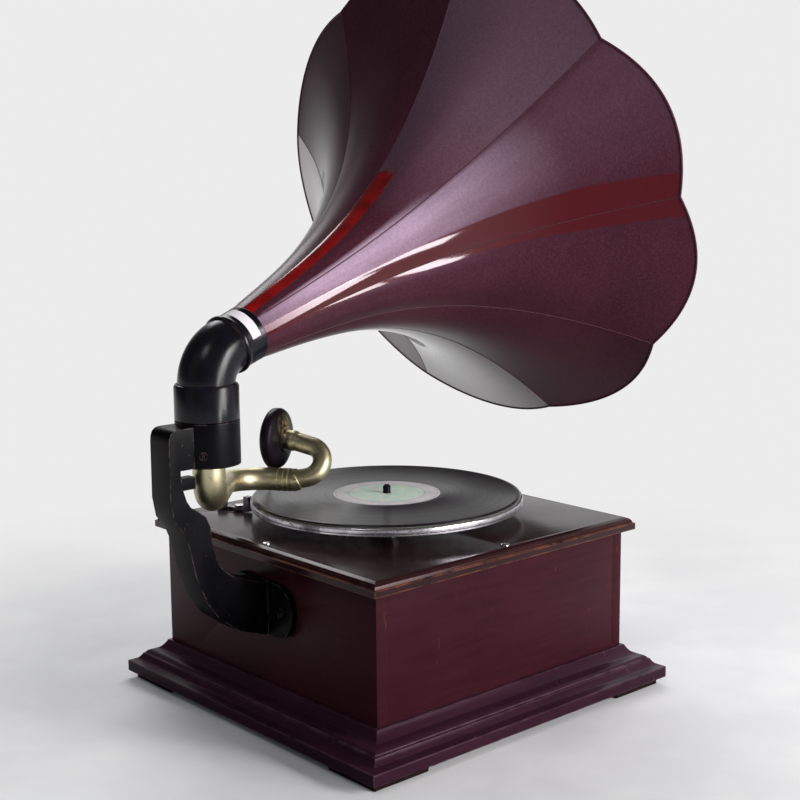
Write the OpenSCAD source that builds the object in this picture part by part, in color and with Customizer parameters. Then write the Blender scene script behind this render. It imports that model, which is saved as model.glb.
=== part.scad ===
/* [Case] */
// outside width and depth of the case
case_w = 300; // [240:1:360]
// thickness of the case panels
wall = 12; // [8:0.5:18]
// top of the panels, underside of the top board
case_top = 149.5; // [130:0.5:180]
// underside of the panels and the moulding, height of the feet
foot_h = 7; // [4:0.5:12]
// overhang of the top board beyond the panels
board_over = 9; // [4:0.5:15]
// thickness of the top board
board_t = 11.5; // [9:0.5:16]
// height of the square edge of the top board
board_edge = 6; // [3:0.5:8]
// inset of the rounded upper edge of the top board
board_in = 7.5; // [3:0.5:9]
// projection of the base moulding
base_out = 31; // [20:0.5:40]
// top of the base moulding
base_top = 38.5; // [30:0.5:50]
// length of a corner foot
foot_w = 58; // [40:1:80]

/* [Turntable] */
// spindle place along X
spin_x = 8; // [0:0.5:20]
// thickness of the record
record_t = 2; // [1.5:0.1:3]
// top of the record
record_z = 181.5; // [178:0.5:188]
// outside radius of the platter
platter_r = 127; // [124:0.5:130]
// lower edge of the platter rim
platter_z = 171.5; // [168:0.5:174]
// thickness of the felt
felt_t = 2; // [1:0.1:3]
// radius of the paper label
label_r = 50; // [35:0.5:55]
// radius of the spindle tip
tip_r = 3.6; // [3.4:0.05:3.8]
// height of the spindle tip above the record
tip_h = 8; // [5:0.5:14]

/* [Horn] */
// turn of the horn to the side, in degrees
horn_az = 9.3; // [0:0.1:20]
// tilt of the horn, in degrees
horn_el = 18.3; // [5:0.1:40]
// distance from the support to the neck
neck_out = 47.7; // [42:0.1:60]
// height of the neck
neck_z = 344.1; // [320:0.1:380]
// length of the horn from neck to mouth
horn_l = 344.5; // [250:0.5:400]
// sag of the horn axis between neck and mouth
horn_sag = 4; // [0:0.5:12]
// radius of the mouth at the seams
mouth_r = 232; // [150:1:260]
// radius of the neck
neck_r = 24; // [20:0.5:30]
// flare of the narrow part
flare_a = 50; // [20:1:90]
// sharpness of the flare at the mouth
flare_m = 3.1; // [2:0.1:6]
// bulge of a petal beyond the seams
petal_bulge = 10; // [0:0.5:25]
// forward bow of a petal edge
petal_bow = 12; // [0:0.5:25]
// thickness of the horn metal
horn_t = 1.2; // [0.8:0.1:2]

/* [Support] */
// distance of the horn support behind the case
post_out = 53; // [45:0.5:65]
// radius of the horn socket
sock_r = 27; // [25:0.5:30]
// underside of the horn socket
sock_z = 240.5; // [230:0.5:245]
// joint line between the socket and the elbow collar
sock_top = 277.5; // [265:0.5:285]
// top of the elbow collar
ring_top = 308; // [299:0.5:308]
// radius of the elbow tube
elbow_r = 24; // [22:0.5:26]
// bend radius of the elbow
elbow_bend = 31; // [28:0.5:34]
// width of the bracket bar
bar_w = 28; // [20:0.5:36]

/* [Tone arm] */
// radius of the tube at the pivot
arm_r0 = 13.8; // [12:0.1:15]
// radius of the tube at the sleeve
arm_r1 = 10.5; // [9:0.1:12]
// wall of the brass tubes
tube_t = 1.2; // [0.8:0.1:2]
// sleeve centre along X
slv_x = 61; // [50:0.5:70]
// sleeve centre along Y
slv_y = 80; // [70:0.5:90]
// sleeve centre height
slv_z = 198; // [195:0.5:205]
// direction of the sleeve in plan, in degrees
slv_dir = 215; // [200:1:230]
// bend radius of the arm near the sleeve
arm_bend = 35; // [30:1:40]
// bend radius below the pivot
drop_bend = 21; // [17:0.5:24]
// slope of the arm, in degrees
arm_tilt = 5.5; // [0:0.5:8]

/* [Soundbox] */
// outside radius of the soundbox
box_r = 28.5; // [24:0.5:30]
// thickness of the soundbox
box_t = 16; // [12:0.5:20]
// radius of the gooseneck tube
goose_r = 8.8; // [7:0.1:10]
// bend radius of the gooseneck
goose_bend = 16.5; // [11:0.5:18]
// lean of the gooseneck away from upright, in degrees
goose_lean = 36; // [20:1:45]
// turn of the soundbox face away from the sleeve, in degrees
box_turn = 8; // [0:1:12]

/* [Motor] */
// upper face of the lower motor plate
plate_z0 = 43; // [30:0.5:50]
// underside of the upper motor plate
plate_z1 = 128; // [110:0.5:135]
// thickness of the motor plates
plate_t = 3; // [2:0.5:4]
// teeth of the great gear
great_n = 60; // [48:1:72]
// teeth of the second pinion
second_pn = 12; // [10:1:14]
// teeth of the second wheel
second_wn = 64; // [56:1:72]
// teeth of the spindle pinion
spin_pn = 16; // [14:1:18]
// teeth of the governor wheel
gov_wn = 60; // [50:1:64]
// teeth of the governor pinion
gov_pn = 12; // [10:1:14]
// tooth size of the great gear
mod_big = 1.5; // [1.25:0.05:1.75]
// tooth size of the other gears
mod_small = 1; // [0.8:0.05:1.2]
// height of the winding shaft
crank_z = 100; // [95:0.5:105]
// length of the crank arm
crank_len = 85; // [70:1:86]

/* [Clearances] */
// play of a shaft in its bearing
run_gap = 0.08; // [0.02:0.01:0.1]
// play between parts that move past each other
part_gap = 0.4; // [0.3:0.05:1]
// play of a screw in its hole
screw_gap = 0.1; // [0.05:0.01:0.3]

/* [Hidden] */
half = case_w / 2;
post_y = half + post_out;
record_r = platter_r - 2;
inner = half - wall;
board_half = half + board_over;
board_top = case_top + board_t;
base_half = half + base_out;
PETALS = 9;

/* motor layout */
second_d = mod_small * (second_wn + spin_pn) / 2;
great_d = mod_big * (great_n + second_pn) / 2;
gov_d = mod_small * (gov_wn + gov_pn) / 2;
second_x = spin_x;
second_y = -second_d;
barrel_x = second_x + great_d;
barrel_y = second_y;
gov_dir = 135;
gov_x = spin_x + gov_d * cos(gov_dir);
gov_y = gov_d * sin(gov_dir);
shaft_r = 4;
seat_r = tip_r + 0.3;
seat_gap = 0.05;
label_t = 0.12;
pillar_xy = [[-62, 62], [107, 62], [107, -92], [-62, -92]];
pillar_r = 5;
plate_edge = 8;
screw_r = 2;
great_z = 48;
great_h = 6;
drum_r = 40;
drum_h = 26;
drum_wall = 2;
drum_z = great_z + great_h;
second_wz = 104;
second_wh = 4;
gov_wz = 114;
gov_wh = 3;
crown_n = 24;
wind_pn = 12;
wind_mod = 1.5;
crown_r = crown_n * wind_mod / 2;
wind_r = wind_pn * wind_mod / 2;
wind_x = barrel_x + crown_r;
wind_w = 5;
crown_z = crank_z - wind_r;
crank_out = base_half + 5;

/* horn directions */
ha = [sin(horn_az) * cos(horn_el), -cos(horn_az) * cos(horn_el), sin(horn_el)];
neck_at = [neck_out * sin(horn_az), post_y - neck_out * cos(horn_az), neck_z];
elbow_turn = 90 - horn_el;
neck_len = (neck_out - elbow_bend * (1 - cos(elbow_turn))) / cos(horn_el);
bend_z = neck_z - neck_len * sin(horn_el) - elbow_bend * sin(elbow_turn);
seam_0 = 41.3;

/* arm directions, in the tilted plane of the sleeve */
sd = [cos(slv_dir), sin(slv_dir)];
piv = [-slv_x, post_y - slv_y];
piv_u = piv[0] * sd[0] + piv[1] * sd[1];
piv_v = (-piv[0] * sd[1] + piv[1] * sd[0]) / cos(arm_tilt);
slv_half = 8;
arc_c = [-slv_half, -arm_bend];
arc_d = [arc_c[0] - piv_u, arc_c[1] - piv_v];
arc_len = sqrt(arc_d[0] * arc_d[0] + arc_d[1] * arc_d[1]);
arm_head = atan2(arc_d[1], arc_d[0]) + asin(arm_bend / arc_len);
arm_run = sqrt(arc_len * arc_len - arm_bend * arm_bend);
arm_dir = [cos(arm_head), sin(arm_head) * cos(arm_tilt), -sin(arm_head) * sin(arm_tilt)];
arm_pitch = -asin(arm_dir[2]);
arm_plan = slv_dir + atan2(arm_dir[1], arm_dir[0]);
arm_top = slv_z - piv_v * sin(arm_tilt);
drop_turn = 90 - arm_pitch;
drop_leg = drop_bend * tan(drop_turn / 2);
ledge_z = sock_z + 4.5;
flange_t = 2;
spigot_z = ledge_z + flange_t + 1.5;
spigot_r = 22;

/* gooseneck path in its own leaning plane */
g_a1 = 13;
g_a2 = 15;
g_l1 = 12;
g_x0 = slv_half + 1.5;
g_turn = 180 - g_a1 - g_a2;
g_p1 = [g_x0 + g_l1 * cos(g_a1), g_l1 * sin(g_a1)];
g_c = [g_p1[0] - goose_bend * sin(g_a1), g_p1[1] + goose_bend * cos(g_a1)];
g_p2 = [g_c[0] + goose_bend * sin(g_a2), g_c[1] + goose_bend * cos(g_a2)];
box_x = -12;
g_l2 = (g_p2[0] - box_x - box_t / 2) / cos(g_a2);
box_w = g_p2[1] + g_l2 * sin(g_a2);
box_y = box_w * sin(goose_lean);
box_z = box_w * cos(goose_lean);
tip_drop = slv_z + box_z - record_z;

/* petals */
ring_half = 2.5;
function flare(t) = neck_r + flare_a * t + (mouth_r - neck_r - flare_a) * pow(t, flare_m);
hs = [ha[1], -ha[0], 0] / sqrt(ha[0] * ha[0] + ha[1] * ha[1]);
ht = cross(hs, ha);
function spread(t) = pow(t, 1.6);
function sag(t) = horn_sag * (1 - pow(1 - t, 2));
function horn_pt(t, a, k) =
  let (u = sin(180 * k), r = flare(t) + (petal_bulge * spread(t) * u))
  neck_at - [0, 0, sag(t)]
    + ha * (t * horn_l + petal_bow * pow(t, 4) * u) + r * (cos(a) * hs + sin(a) * ht);

module at_horn() {
  translate(neck_at)
    rotate([0, 0, horn_az])
      rotate([90 - horn_el, 0, 0])
        children();
}

module tube(r, t, h) {
  difference() {
    cylinder(r = r, h = h, $fn = 96);
    translate([0, 0, -1])
      cylinder(r = r - t, h = h + 2, $fn = 96);
  }
}

module gear2d(n, m, cut = 0.2) {
  rp = n * m / 2;
  half_t = 90 / n - cut / rp * 57.3;
  ro = rp + m;
  ri = rp - 1.25 * m;
  polygon([for (i = [0 : n - 1], q = [[ri, -1.35], [rp, -1], [ro, -0.5], [ro, 0.5], [rp, 1], [ri, 1.35]])
    let (a = i * 360 / n + q[1] * half_t) [q[0] * cos(a), q[0] * sin(a)]]);
}

module gear(n, m, h, turn = 0) {
  rotate([0, 0, turn])
    linear_extrude(height = h)
      gear2d(n, m);
}

module screw(r, l, head_r, head_h) {
  difference() {
    union() {
      cylinder(r = head_r, h = head_h, $fn = 48);
      translate([0, 0, -l])
        cylinder(r = r, h = l, $fn = 48);
    }
    translate([-head_r - 1, -0.5, head_h * 0.45])
      cube([2 * head_r + 2, 1, head_h]);
  }
}

/* case */
panel_h = case_top - foot_h;

module front_panel() {
  color([0.2, 0.1, 0.12])
    difference() {
      translate([-half, -half, foot_h])
        cube([case_w, wall, panel_h]);
      board_holes();
    }
}

module back_panel() {
  color([0.2, 0.1, 0.12])
    difference() {
      translate([-half, half - wall, foot_h])
        cube([case_w, wall, panel_h]);
      board_holes();
      for (x = [-foot_screw, foot_screw])
        translate([x, half - wall + 2, foot_sz])
          rotate([-90, 0, 0])
            cylinder(r = screw_r + screw_gap, h = wall, $fn = 48);
    }
}

module side_panel() {
  translate([-half, -inner, foot_h])
    cube([wall, 2 * inner, panel_h]);
}

module left_panel() {
  color([0.12, 0.08, 0.1])
    difference() {
      side_panel();
      board_holes();
    }
}

bearing_r = 11;

module right_panel() {
  color([0.12, 0.08, 0.1])
    difference() {
      mirror([1, 0, 0])
        side_panel();
      board_holes();
      translate([inner - 1, barrel_y, crank_z])
        rotate([0, 90, 0])
          cylinder(r = bearing_r, h = wall + 2, $fn = 64);
    }
}

module bottom_board() {
  color([0.35, 0.25, 0.18])
    translate([-inner, -inner, foot_h])
      cube([2 * inner, 2 * inner, 8]);
}

block_w = 16;

module corner_blocks() {
  color([0.35, 0.25, 0.18])
    for (x = [-inner, inner - block_w], y = [-inner, inner - block_w])
      translate([x, y, foot_h + 8])
        cube([block_w, block_w, case_top - foot_h - 8]);
}

base_profile = [[0, foot_h], [base_out, foot_h], [base_out, 17], [29.2, 17.5], [26.8, 18.2],
  [24.1, 19.6], [22.3, 21.6], [20.9, 23.6], [20.3, 25], [18.6, 25],
  [18.6, 26.2], [16.5, 27.7], [12.2, 29], [9.4, 30.3],
  [7.2, 32.2], [5.2, 34.6], [3.8, 37], [3, base_top], [0, base_top]];

module base_moulding() {
  color([0.22, 0.12, 0.18])
    for (q = [0 : 3])
      rotate([0, 0, 90 * q])
        intersection() {
          translate([-base_half, half, 0])
            rotate([90, 0, 90])
              linear_extrude(height = 2 * base_half)
                polygon(base_profile);
          linear_extrude(height = base_top + 1)
            polygon([[0, 0], [base_half + 1, base_half + 1], [-base_half - 1, base_half + 1]]);
        }
}

foot_in = 6;

foot_back = 20;
frame_w = 65;

module foot_frame() {
  foot_edge = base_half - foot_in;
  color([0.1, 0.08, 0.08])
    linear_extrude(height = foot_h)
      difference() {
        square(2 * foot_edge, center = true);
        square(2 * (foot_edge - frame_w), center = true);
        for (q = [0 : 3])
          rotate(90 * q)
            translate([foot_w - foot_edge, foot_edge - foot_back])
              square([2 * (foot_edge - foot_w), foot_back + 1]);
      }
}

edge_in = half - 4;

module board_holes() {
  for (p = [[-edge_in, 0], [edge_in, 0], [0, edge_in], [0, -edge_in]])
    translate([p[0], p[1], case_top - 14])
      cylinder(r = screw_r + screw_gap, h = 40, $fn = 48);
}

module frustum(h0, h1, z, h) {
  translate([0, 0, z])
    rotate([0, 0, 45])
      cylinder(r1 = h0 * sqrt(2), r2 = h1 * sqrt(2), h = h, $fn = 4);
}

brake_dir = 40.43;
brake_far = platter_r + 14.87;
brake_piv = [spin_x + brake_far * cos(brake_dir), brake_far * sin(brake_dir)];
pad_x = 8;
pad_w = 6;
pad_h = 14.2;
speed_in = 38;
speed_at = [half - speed_in, speed_in - half];
ovolo_h = board_t - board_edge;

module top_board() {
  color([0.2, 0.12, 0.14])
    difference() {
      union() {
        translate([-board_half, -board_half, case_top])
          cube([2 * board_half, 2 * board_half, board_edge]);
        frustum(board_half - 1.6, board_half - 2.4, case_top + board_edge, ovolo_h * 0.45);
        frustum(board_half - 2.4, board_half - 4.2, case_top + board_edge + ovolo_h * 0.45, ovolo_h * 0.3);
        frustum(board_half - 4.2, board_half - board_in, case_top + board_edge + ovolo_h * 0.75, ovolo_h * 0.25);
      }
      board_holes();
      translate([spin_x, 0, case_top - 1])
        cylinder(r = 10, h = 20, $fn = 64);
      for (p = pillar_xy)
        translate([p[0], p[1], case_top - 1])
          cylinder(r = screw_r + screw_gap, h = 7, $fn = 48);
      translate([brake_piv[0], brake_piv[1], board_top - 6])
        cylinder(r = 2.5 + screw_gap, h = 8, $fn = 48);
      translate([speed_at[0], speed_at[1], case_top - 1])
        cylinder(r = 3 + part_gap, h = 20, $fn = 48);
    }
}

module top_board_screws() {
  color([0.7, 0.7, 0.66])
    for (p = [[-edge_in, 0], [edge_in, 0], [0, edge_in], [0, -edge_in]])
      translate([p[0], p[1], board_top])
        screw(screw_r, board_top - case_top + 10, 3.6, 1.2);
}

/* support */
foot_screw = 32;
foot_sz = 107.8;
bar_line = [[0, 133], [7, 133], [20, 137], [33.5, 142.5], [43, 149], [49.5, 157.5], [53.5, 168],
  [55.5, 180], [56.5, 190], [60, 198.5], [68.5, 205.5], [75, 209.5], [78.5, 215], [81.5, 224],
  [83.5, 236], [83.5, 241], [67, 241], [67, 275], [85.5, 275], [89, 274.2], [91.8, 272],
  [93.3, 268.5], [93.8, 264], [94, 240], [94, 217], [91, 200.5], [83, 190], [77.5, 176.5],
  [72.5, 152], [62, 126], [50, 109.5], [30, 94.5], [8.5, 87], [0, 84.5]];
plate_out = 6;
foot_cz = 108;
foot_pr = 24;
foot_ph = 24;
stop_z = sock_z - 18.5;

module foot_plate() {
  translate([0, half + plate_out, foot_cz])
    rotate([90, 0, 0])
      linear_extrude(height = plate_out)
        union() {
          for (x = [-foot_ph, foot_ph])
            translate([x, 0])
              circle(r = foot_pr, $fn = 96);
          translate([-foot_ph, -foot_pr])
            square([2 * foot_ph, 2 * foot_pr]);
        }
}

module horn_bracket() {
  color([0.08, 0.08, 0.1])
    difference() {
      union() {
        foot_plate();
        translate([-bar_w / 2, half + plate_out, 0])
          rotate([90, 0, 90])
            linear_extrude(height = bar_w)
              polygon(bar_line);
        translate([0, post_y, sock_z])
          cylinder(r = sock_r, h = sock_top - sock_z, $fn = 96);
        translate([-5, post_y + arm_r0 + 3, stop_z])
          cube([10, 24, 10]);
      }
      translate([0, post_y, sock_z - 1])
        cylinder(r = arm_r0 + run_gap, h = 60, $fn = 96);
      translate([0, post_y, ledge_z])
        cylinder(r = spigot_r + part_gap, h = 60, $fn = 96);
      for (x = [-foot_screw, foot_screw])
        translate([x, half - 1, foot_sz])
          rotate([-90, 0, 0])
            cylinder(r = screw_r + screw_gap, h = 20, $fn = 48);
      translate([0, post_y, set_z])
        rotate([0, 90, set_dir])
          translate([0, 0, spigot_r - 2])
            cylinder(r = 2.5 + screw_gap, h = 20, $fn = 48);
    }
}

module bracket_screws() {
  color([0.12, 0.12, 0.13])
    for (x = [-foot_screw, foot_screw])
      translate([x, half + plate_out, foot_sz])
        rotate([-90, 0, 0])
          screw(screw_r, plate_out + wall - 4, 5, 2);
}

set_z = ledge_z + 6.5;
set_dir = 138;

module socket_set_screw() {
  color([0.15, 0.14, 0.14])
    translate([0, post_y, set_z])
      rotate([0, 90, set_dir])
        translate([0, 0, sock_r])
          screw(2.5, sock_r - spigot_r - 1, 3.5, 1.5);
}

/* elbow and horn */
module elbow_collar() {
  color([0.1, 0.09, 0.12])
    translate([0, post_y, 0])
      difference() {
        union() {
          translate([0, 0, sock_top + part_gap])
            cylinder(r = sock_r, h = ring_top - sock_top - part_gap, $fn = 96);
          translate([0, 0, spigot_z])
            cylinder(r = spigot_r, h = ring_top - spigot_z, $fn = 96);
        }
        translate([0, 0, ledge_z])
          cylinder(r = spigot_r - 3, h = sock_top + 6 - ledge_z, $fn = 96);
        translate([0, 0, sock_top + 5])
          cylinder(r = elbow_r + 0.02, h = 9, $fn = 96);
        translate([0, 0, sock_top + 13])
          cylinder(r = elbow_r + 0.7, h = 40, $fn = 96);
      }
}

module joint_ring(r) {
  translate([0, 0, -ring_half])
    cylinder(r = r, h = 2 * ring_half, $fn = 96);
}

module elbow_bend_solid(r) {
  rotate([0, 0, horn_az - 90])
    translate([elbow_bend, 0, 0])
      rotate([90, 0, 180])
        rotate_extrude(angle = elbow_turn, $fn = 96)
          translate([elbow_bend, 0])
            circle(r = r, $fn = 96);
}

elbow_end = 20.5;
bead_h = 5;
band_h = elbow_end - 0.1;
neck_in = 7;

module elbow_solid(r, step) {
  translate([0, post_y, sock_top + 5 - min(step, 0) * 4])
    cylinder(r = r, h = bend_z - sock_top - 6 + min(step, 0) * 4, $fn = 96);
  translate([0, post_y, bend_z]) {
    joint_ring(r + step);
    elbow_bend_solid(r);
  }
  at_horn() {
    translate([0, 0, -neck_len])
      joint_ring(r + step);
    translate([0, 0, 1 - neck_len])
      cylinder(r = r, h = neck_len - elbow_end - 1, $fn = 96);
  }
}

module horn_elbow() {
  color([0.12, 0.11, 0.15])
    difference() {
      union() {
        elbow_solid(elbow_r, 0.5);
        at_horn()
          translate([0, 0, -elbow_end - bead_h])
            cylinder(r = elbow_r + 2, h = bead_h, $fn = 96);
      }
      elbow_solid(elbow_r - 2, -0.4);
      at_horn()
        translate([0, 0, -elbow_end - bead_h + 0.5])
          cylinder(r = elbow_r - 1.8, h = 20, $fn = 96);
      translate([0, post_y, sock_top])
        cylinder(r = elbow_r - 1.8, h = 10, $fn = 96);
    }
}

module horn_neck() {
  color([0.2, 0.12, 0.16])
    at_horn()
      translate([0, 0, -band_h])
        difference() {
          union() {
            cylinder(r = neck_r + 0.4, h = band_h, $fn = 96);
            translate([0, 0, -neck_in])
              cylinder(r = elbow_r - 2 - part_gap, h = neck_in + 1, $fn = 96);
          }
          translate([0, 0, -neck_in - 1])
            cylinder(r = elbow_r - 4, h = neck_in + band_h + 2, $fn = 96);
        }
}

ROWS = 22;
COLS = 10;

module petal(k) {
  a0 = seam_0 - 40 * k;
  w = 360 / PETALS;
  pts = [for (s = [0, 1], i = [0 : ROWS], j = [0 : COLS])
    let (t = i / ROWS, a = a0 - w * j / COLS, p = horn_pt(t, a, j / COLS), c = cos(a) * hs + sin(a) * ht)
    p - s * horn_t * c];
  m = COLS + 1;
  n = (ROWS + 1) * m;
  faces = concat(
    [for (i = [0 : ROWS - 1], j = [0 : COLS - 1]) [i * m + j, i * m + j + 1, (i + 1) * m + j + 1]],
    [for (i = [0 : ROWS - 1], j = [0 : COLS - 1]) [i * m + j, (i + 1) * m + j + 1, (i + 1) * m + j]],
    [for (i = [0 : ROWS - 1], j = [0 : COLS - 1]) [n + i * m + j, n + (i + 1) * m + j + 1, n + i * m + j + 1]],
    [for (i = [0 : ROWS - 1], j = [0 : COLS - 1]) [n + i * m + j, n + (i + 1) * m + j, n + (i + 1) * m + j + 1]],
    [for (i = [0 : ROWS - 1]) [i * m, (i + 1) * m, n + (i + 1) * m]],
    [for (i = [0 : ROWS - 1]) [i * m, n + (i + 1) * m, n + i * m]],
    [for (i = [0 : ROWS - 1]) [i * m + COLS, n + (i + 1) * m + COLS, (i + 1) * m + COLS]],
    [for (i = [0 : ROWS - 1]) [i * m + COLS, n + i * m + COLS, n + (i + 1) * m + COLS]],
    [for (j = [0 : COLS - 1]) [j, n + j + 1, j + 1]],
    [for (j = [0 : COLS - 1]) [j, n + j, n + j + 1]],
    [for (j = [0 : COLS - 1]) [ROWS * m + j, ROWS * m + j + 1, n + ROWS * m + j + 1]],
    [for (j = [0 : COLS - 1]) [ROWS * m + j, n + ROWS * m + j + 1, n + ROWS * m + j]]);
  color([0.34, 0.2, 0.25])
    polyhedron(points = pts, faces = faces, convexity = 6);
}

/* tone arm */
module at_sleeve() {
  translate([slv_x, slv_y, slv_z])
    rotate([0, 0, slv_dir])
      children();
}

module along(a) {
  rotate([0, 90, a])
    children();
}

module arm_solid(grow, step) {
  r0 = arm_r0 + grow;
  r1 = arm_r1 + grow;
  translate([0, post_y, arm_top + drop_leg]) {
    joint_ring(r0 + step);
    translate([0, 0, 1])
      cylinder(r = r0, h = ledge_z + 0.1 - arm_top - drop_leg - 1, $fn = 96);
    rotate([0, 0, arm_plan])
      translate([drop_bend, 0, 0])
        rotate([-90, 0, 0])
          rotate([0, 0, 180 - drop_turn])
            rotate_extrude(angle = drop_turn, $fn = 96)
              translate([drop_bend, 0])
                circle(r = r0, $fn = 96);
  }
  at_sleeve()
    rotate([-arm_tilt, 0, 0]) {
      translate([piv_u, piv_v, 0])
        along(arm_head) {
          translate([0, 0, drop_leg])
            joint_ring(r0 + step);
          translate([0, 0, drop_leg + 1])
            cylinder(r1 = r0, r2 = r1, h = arm_run - drop_leg - 2, $fn = 96);
          translate([0, 0, arm_run])
            joint_ring(r1 + step);
        }
      translate([arc_c[0], arc_c[1], 0])
        rotate([0, 0, 90])
          rotate_extrude(angle = arm_head, $fn = 96)
            translate([arm_bend, 0])
              circle(r = r1, $fn = 96);
      translate([-slv_half, 0, 0])
        along(0)
          joint_ring(r1 + step);
    }
  at_sleeve()
    translate([1 - slv_half, 0, 0])
      along(0)
        cylinder(r = r1, h = 2 * slv_half - 1, $fn = 96);
}

module tone_arm() {
  color([0.5, 0.46, 0.32])
    difference() {
      union() {
        arm_solid(0, 0.4);
        for (x = [-5, 0.5, 5])
          at_sleeve()
            translate([x, 0, 0])
              along(0)
                cylinder(r = arm_r1 + 0.35, h = 1.2, $fn = 96);
      }
      arm_solid(-tube_t, -0.3);
      translate([0, post_y, ledge_z - 2])
        cylinder(r = arm_r0 - tube_t - 0.2, h = 4, $fn = 96);
      at_sleeve()
        translate([-slv_half + 4, 0, 0])
          along(0)
            cylinder(r = arm_r1 - tube_t + 0.2, h = 2 * slv_half, $fn = 96);
    }
}

module arm_flange() {
  color([0.45, 0.41, 0.3])
    translate([0, post_y, ledge_z + 0.1])
      difference() {
        cylinder(r = arm_r0 + 3, h = flange_t, $fn = 96);
        translate([0, 0, -1])
          cylinder(r = arm_r0 - tube_t, h = flange_t + 2, $fn = 96);
      }
}

module goose_solid(r, step) {
  rotate([-goose_lean, 0, 0]) {
    translate([g_x0, 0, 0])
      rotate([0, -g_a1, 0])
        along(0) {
          cylinder(r = r, h = g_l1 - 1, $fn = 80);
          translate([0, 0, g_l1])
            joint_ring(r + step);
        }
    translate([g_c[0], 0, g_c[1]])
      rotate([90, 0, 0])
        rotate([0, 0, -90 + g_a1])
          rotate_extrude(angle = g_turn, $fn = 80)
            translate([goose_bend, 0])
              circle(r = r, $fn = 80);
    translate([g_p2[0], 0, g_p2[1]])
      rotate([0, g_a2 - 180, 0])
        along(0) {
          joint_ring(r + step);
          translate([0, 0, 1])
            cylinder(r = r, h = g_l2 + 4, $fn = 80);
        }
  }
}

neck_rr = arm_r1 - tube_t + 0.2 - run_gap;

module gooseneck() {
  color([0.55, 0.5, 0.35])
    at_sleeve()
      difference() {
        union() {
          goose_solid(goose_r, 0.3);
          translate([-slv_half + 4 + part_gap, 0, 0])
            along(0)
              cylinder(r = neck_rr, h = g_x0 + slv_half - 2, $fn = 80);
          translate([slv_half + part_gap, 0, 0])
            along(0)
              cylinder(r = arm_r1, h = 5, $fn = 80);
        }
        goose_solid(goose_r - tube_t, -0.3);
        translate([-slv_half, 0, 0])
          along(0)
            cylinder(r = goose_r - tube_t - 0.5, h = g_x0 + slv_half + 2, $fn = 80);
        at_box()
          translate([-10, 0, 0])
            rotate([0, 90, 0])
              cylinder(r = box_r + 5, h = box_t / 2 + 10, $fn = 96);
      }
}

module at_box() {
  translate([box_x, box_y, box_z])
    rotate([0, 0, -box_turn])
      children();
}

module soundbox_case() {
  color([0.12, 0.1, 0.12])
    at_sleeve()
      at_box()
        rotate([0, 90, 0])
          translate([0, 0, -box_t / 2 + 3])
            difference() {
              union() {
                cylinder(r = box_r, h = box_t - 6, $fn = 96);
                translate([0, 0, box_t - 6])
                  cylinder(r1 = box_r, r2 = box_r - 6, h = 3, $fn = 96);
              }
              translate([0, 0, -1])
                cylinder(r = box_r - 4, h = 6, $fn = 96);
              translate([0, 0, -1])
                cylinder(r = goose_r - tube_t, h = box_t + 2, $fn = 80);
            }
}

module soundbox_ring() {
  color([0.15, 0.12, 0.12])
    at_sleeve()
      at_box()
        rotate([0, 90, 0])
          translate([0, 0, -box_t / 2])
            difference() {
              cylinder(r1 = box_r - 2, r2 = box_r, h = 3, $fn = 96);
              translate([0, 0, -1])
                cylinder(r = box_r - 7, h = 6, $fn = 96);
            }
}

module diaphragm() {
  color([0.75, 0.72, 0.62, 0.8])
    at_sleeve()
      at_box()
        rotate([0, 90, 0])
          translate([0, 0, -box_t / 2 + 3])
            cylinder(r = box_r - 4.2, h = 0.6, $fn = 96);
}

bar_x = -box_t / 2 - 4;
chuck_l = 11;

module needle_bar() {
  color([0.45, 0.42, 0.35])
    at_sleeve()
      at_box() {
        difference() {
          union() {
            translate([bar_x, -1.5, -box_r - 4])
              cube([2, 3, box_r + 6]);
            translate([bar_x, 0, 0])
              rotate([0, 90, 0])
                cylinder(r = 2, h = box_t / 2 + bar_x + 10.9, $fn = 32);
            translate([bar_x - 1, -3, -box_r - 4 - chuck_l])
              cube([6, 6, chuck_l]);
          }
          translate([bar_x + 2, 0, -tip_drop - 1])
            cylinder(r = 1 + screw_gap, h = tip_drop - box_r - 6, $fn = 32);
          translate([bar_x + 2, 0, -box_r - 4 - chuck_l / 2])
            rotate([0, 90, 0])
              cylinder(r = 1.2 + screw_gap, h = 12, $fn = 32);
        }
      }
}

module needle() {
  color([0.75, 0.75, 0.78])
    at_sleeve()
      at_box()
        translate([bar_x + 2, 0, -tip_drop + 0.3]) {
          cylinder(r1 = 0.2, r2 = 1, h = 4, $fn = 32);
          translate([0, 0, 4])
            cylinder(r = 1, h = tip_drop - 4.3 - box_r - 7, $fn = 32);
        }
}

module needle_screw() {
  color([0.5, 0.48, 0.4])
    at_sleeve()
      at_box()
        translate([bar_x + 3.3, 0, -box_r - 4 - chuck_l / 2])
          rotate([0, 90, 0]) {
            cylinder(r = 1.2, h = 4, $fn = 32);
            translate([0, 0, 4])
              cylinder(r = 3, h = 3, $fn = 32);
          }
}

/* turntable */
felt_z = record_z - record_t - felt_t;

module platter() {
  color([0.8, 0.8, 0.78])
    translate([spin_x, 0, 0])
      difference() {
        union() {
          translate([0, 0, platter_z])
            cylinder(r = platter_r, h = record_z - 2.5 - platter_z, $fn = 180);
          translate([0, 0, platter_z - 5])
            cylinder(r = 16, h = 8, $fn = 64);
        }
        translate([0, 0, platter_z - 1])
          difference() {
            cylinder(r = platter_r - 3, h = felt_z - 3 - platter_z + 1, $fn = 180);
            cylinder(r = 16, h = 20, $fn = 64);
          }
        translate([0, 0, felt_z])
          cylinder(r = platter_r - 1.5, h = 10, $fn = 180);
        translate([0, 0, platter_z - 6])
          cylinder(r = shaft_r + 0.01, h = 30, $fn = 64);
      }
}

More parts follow.
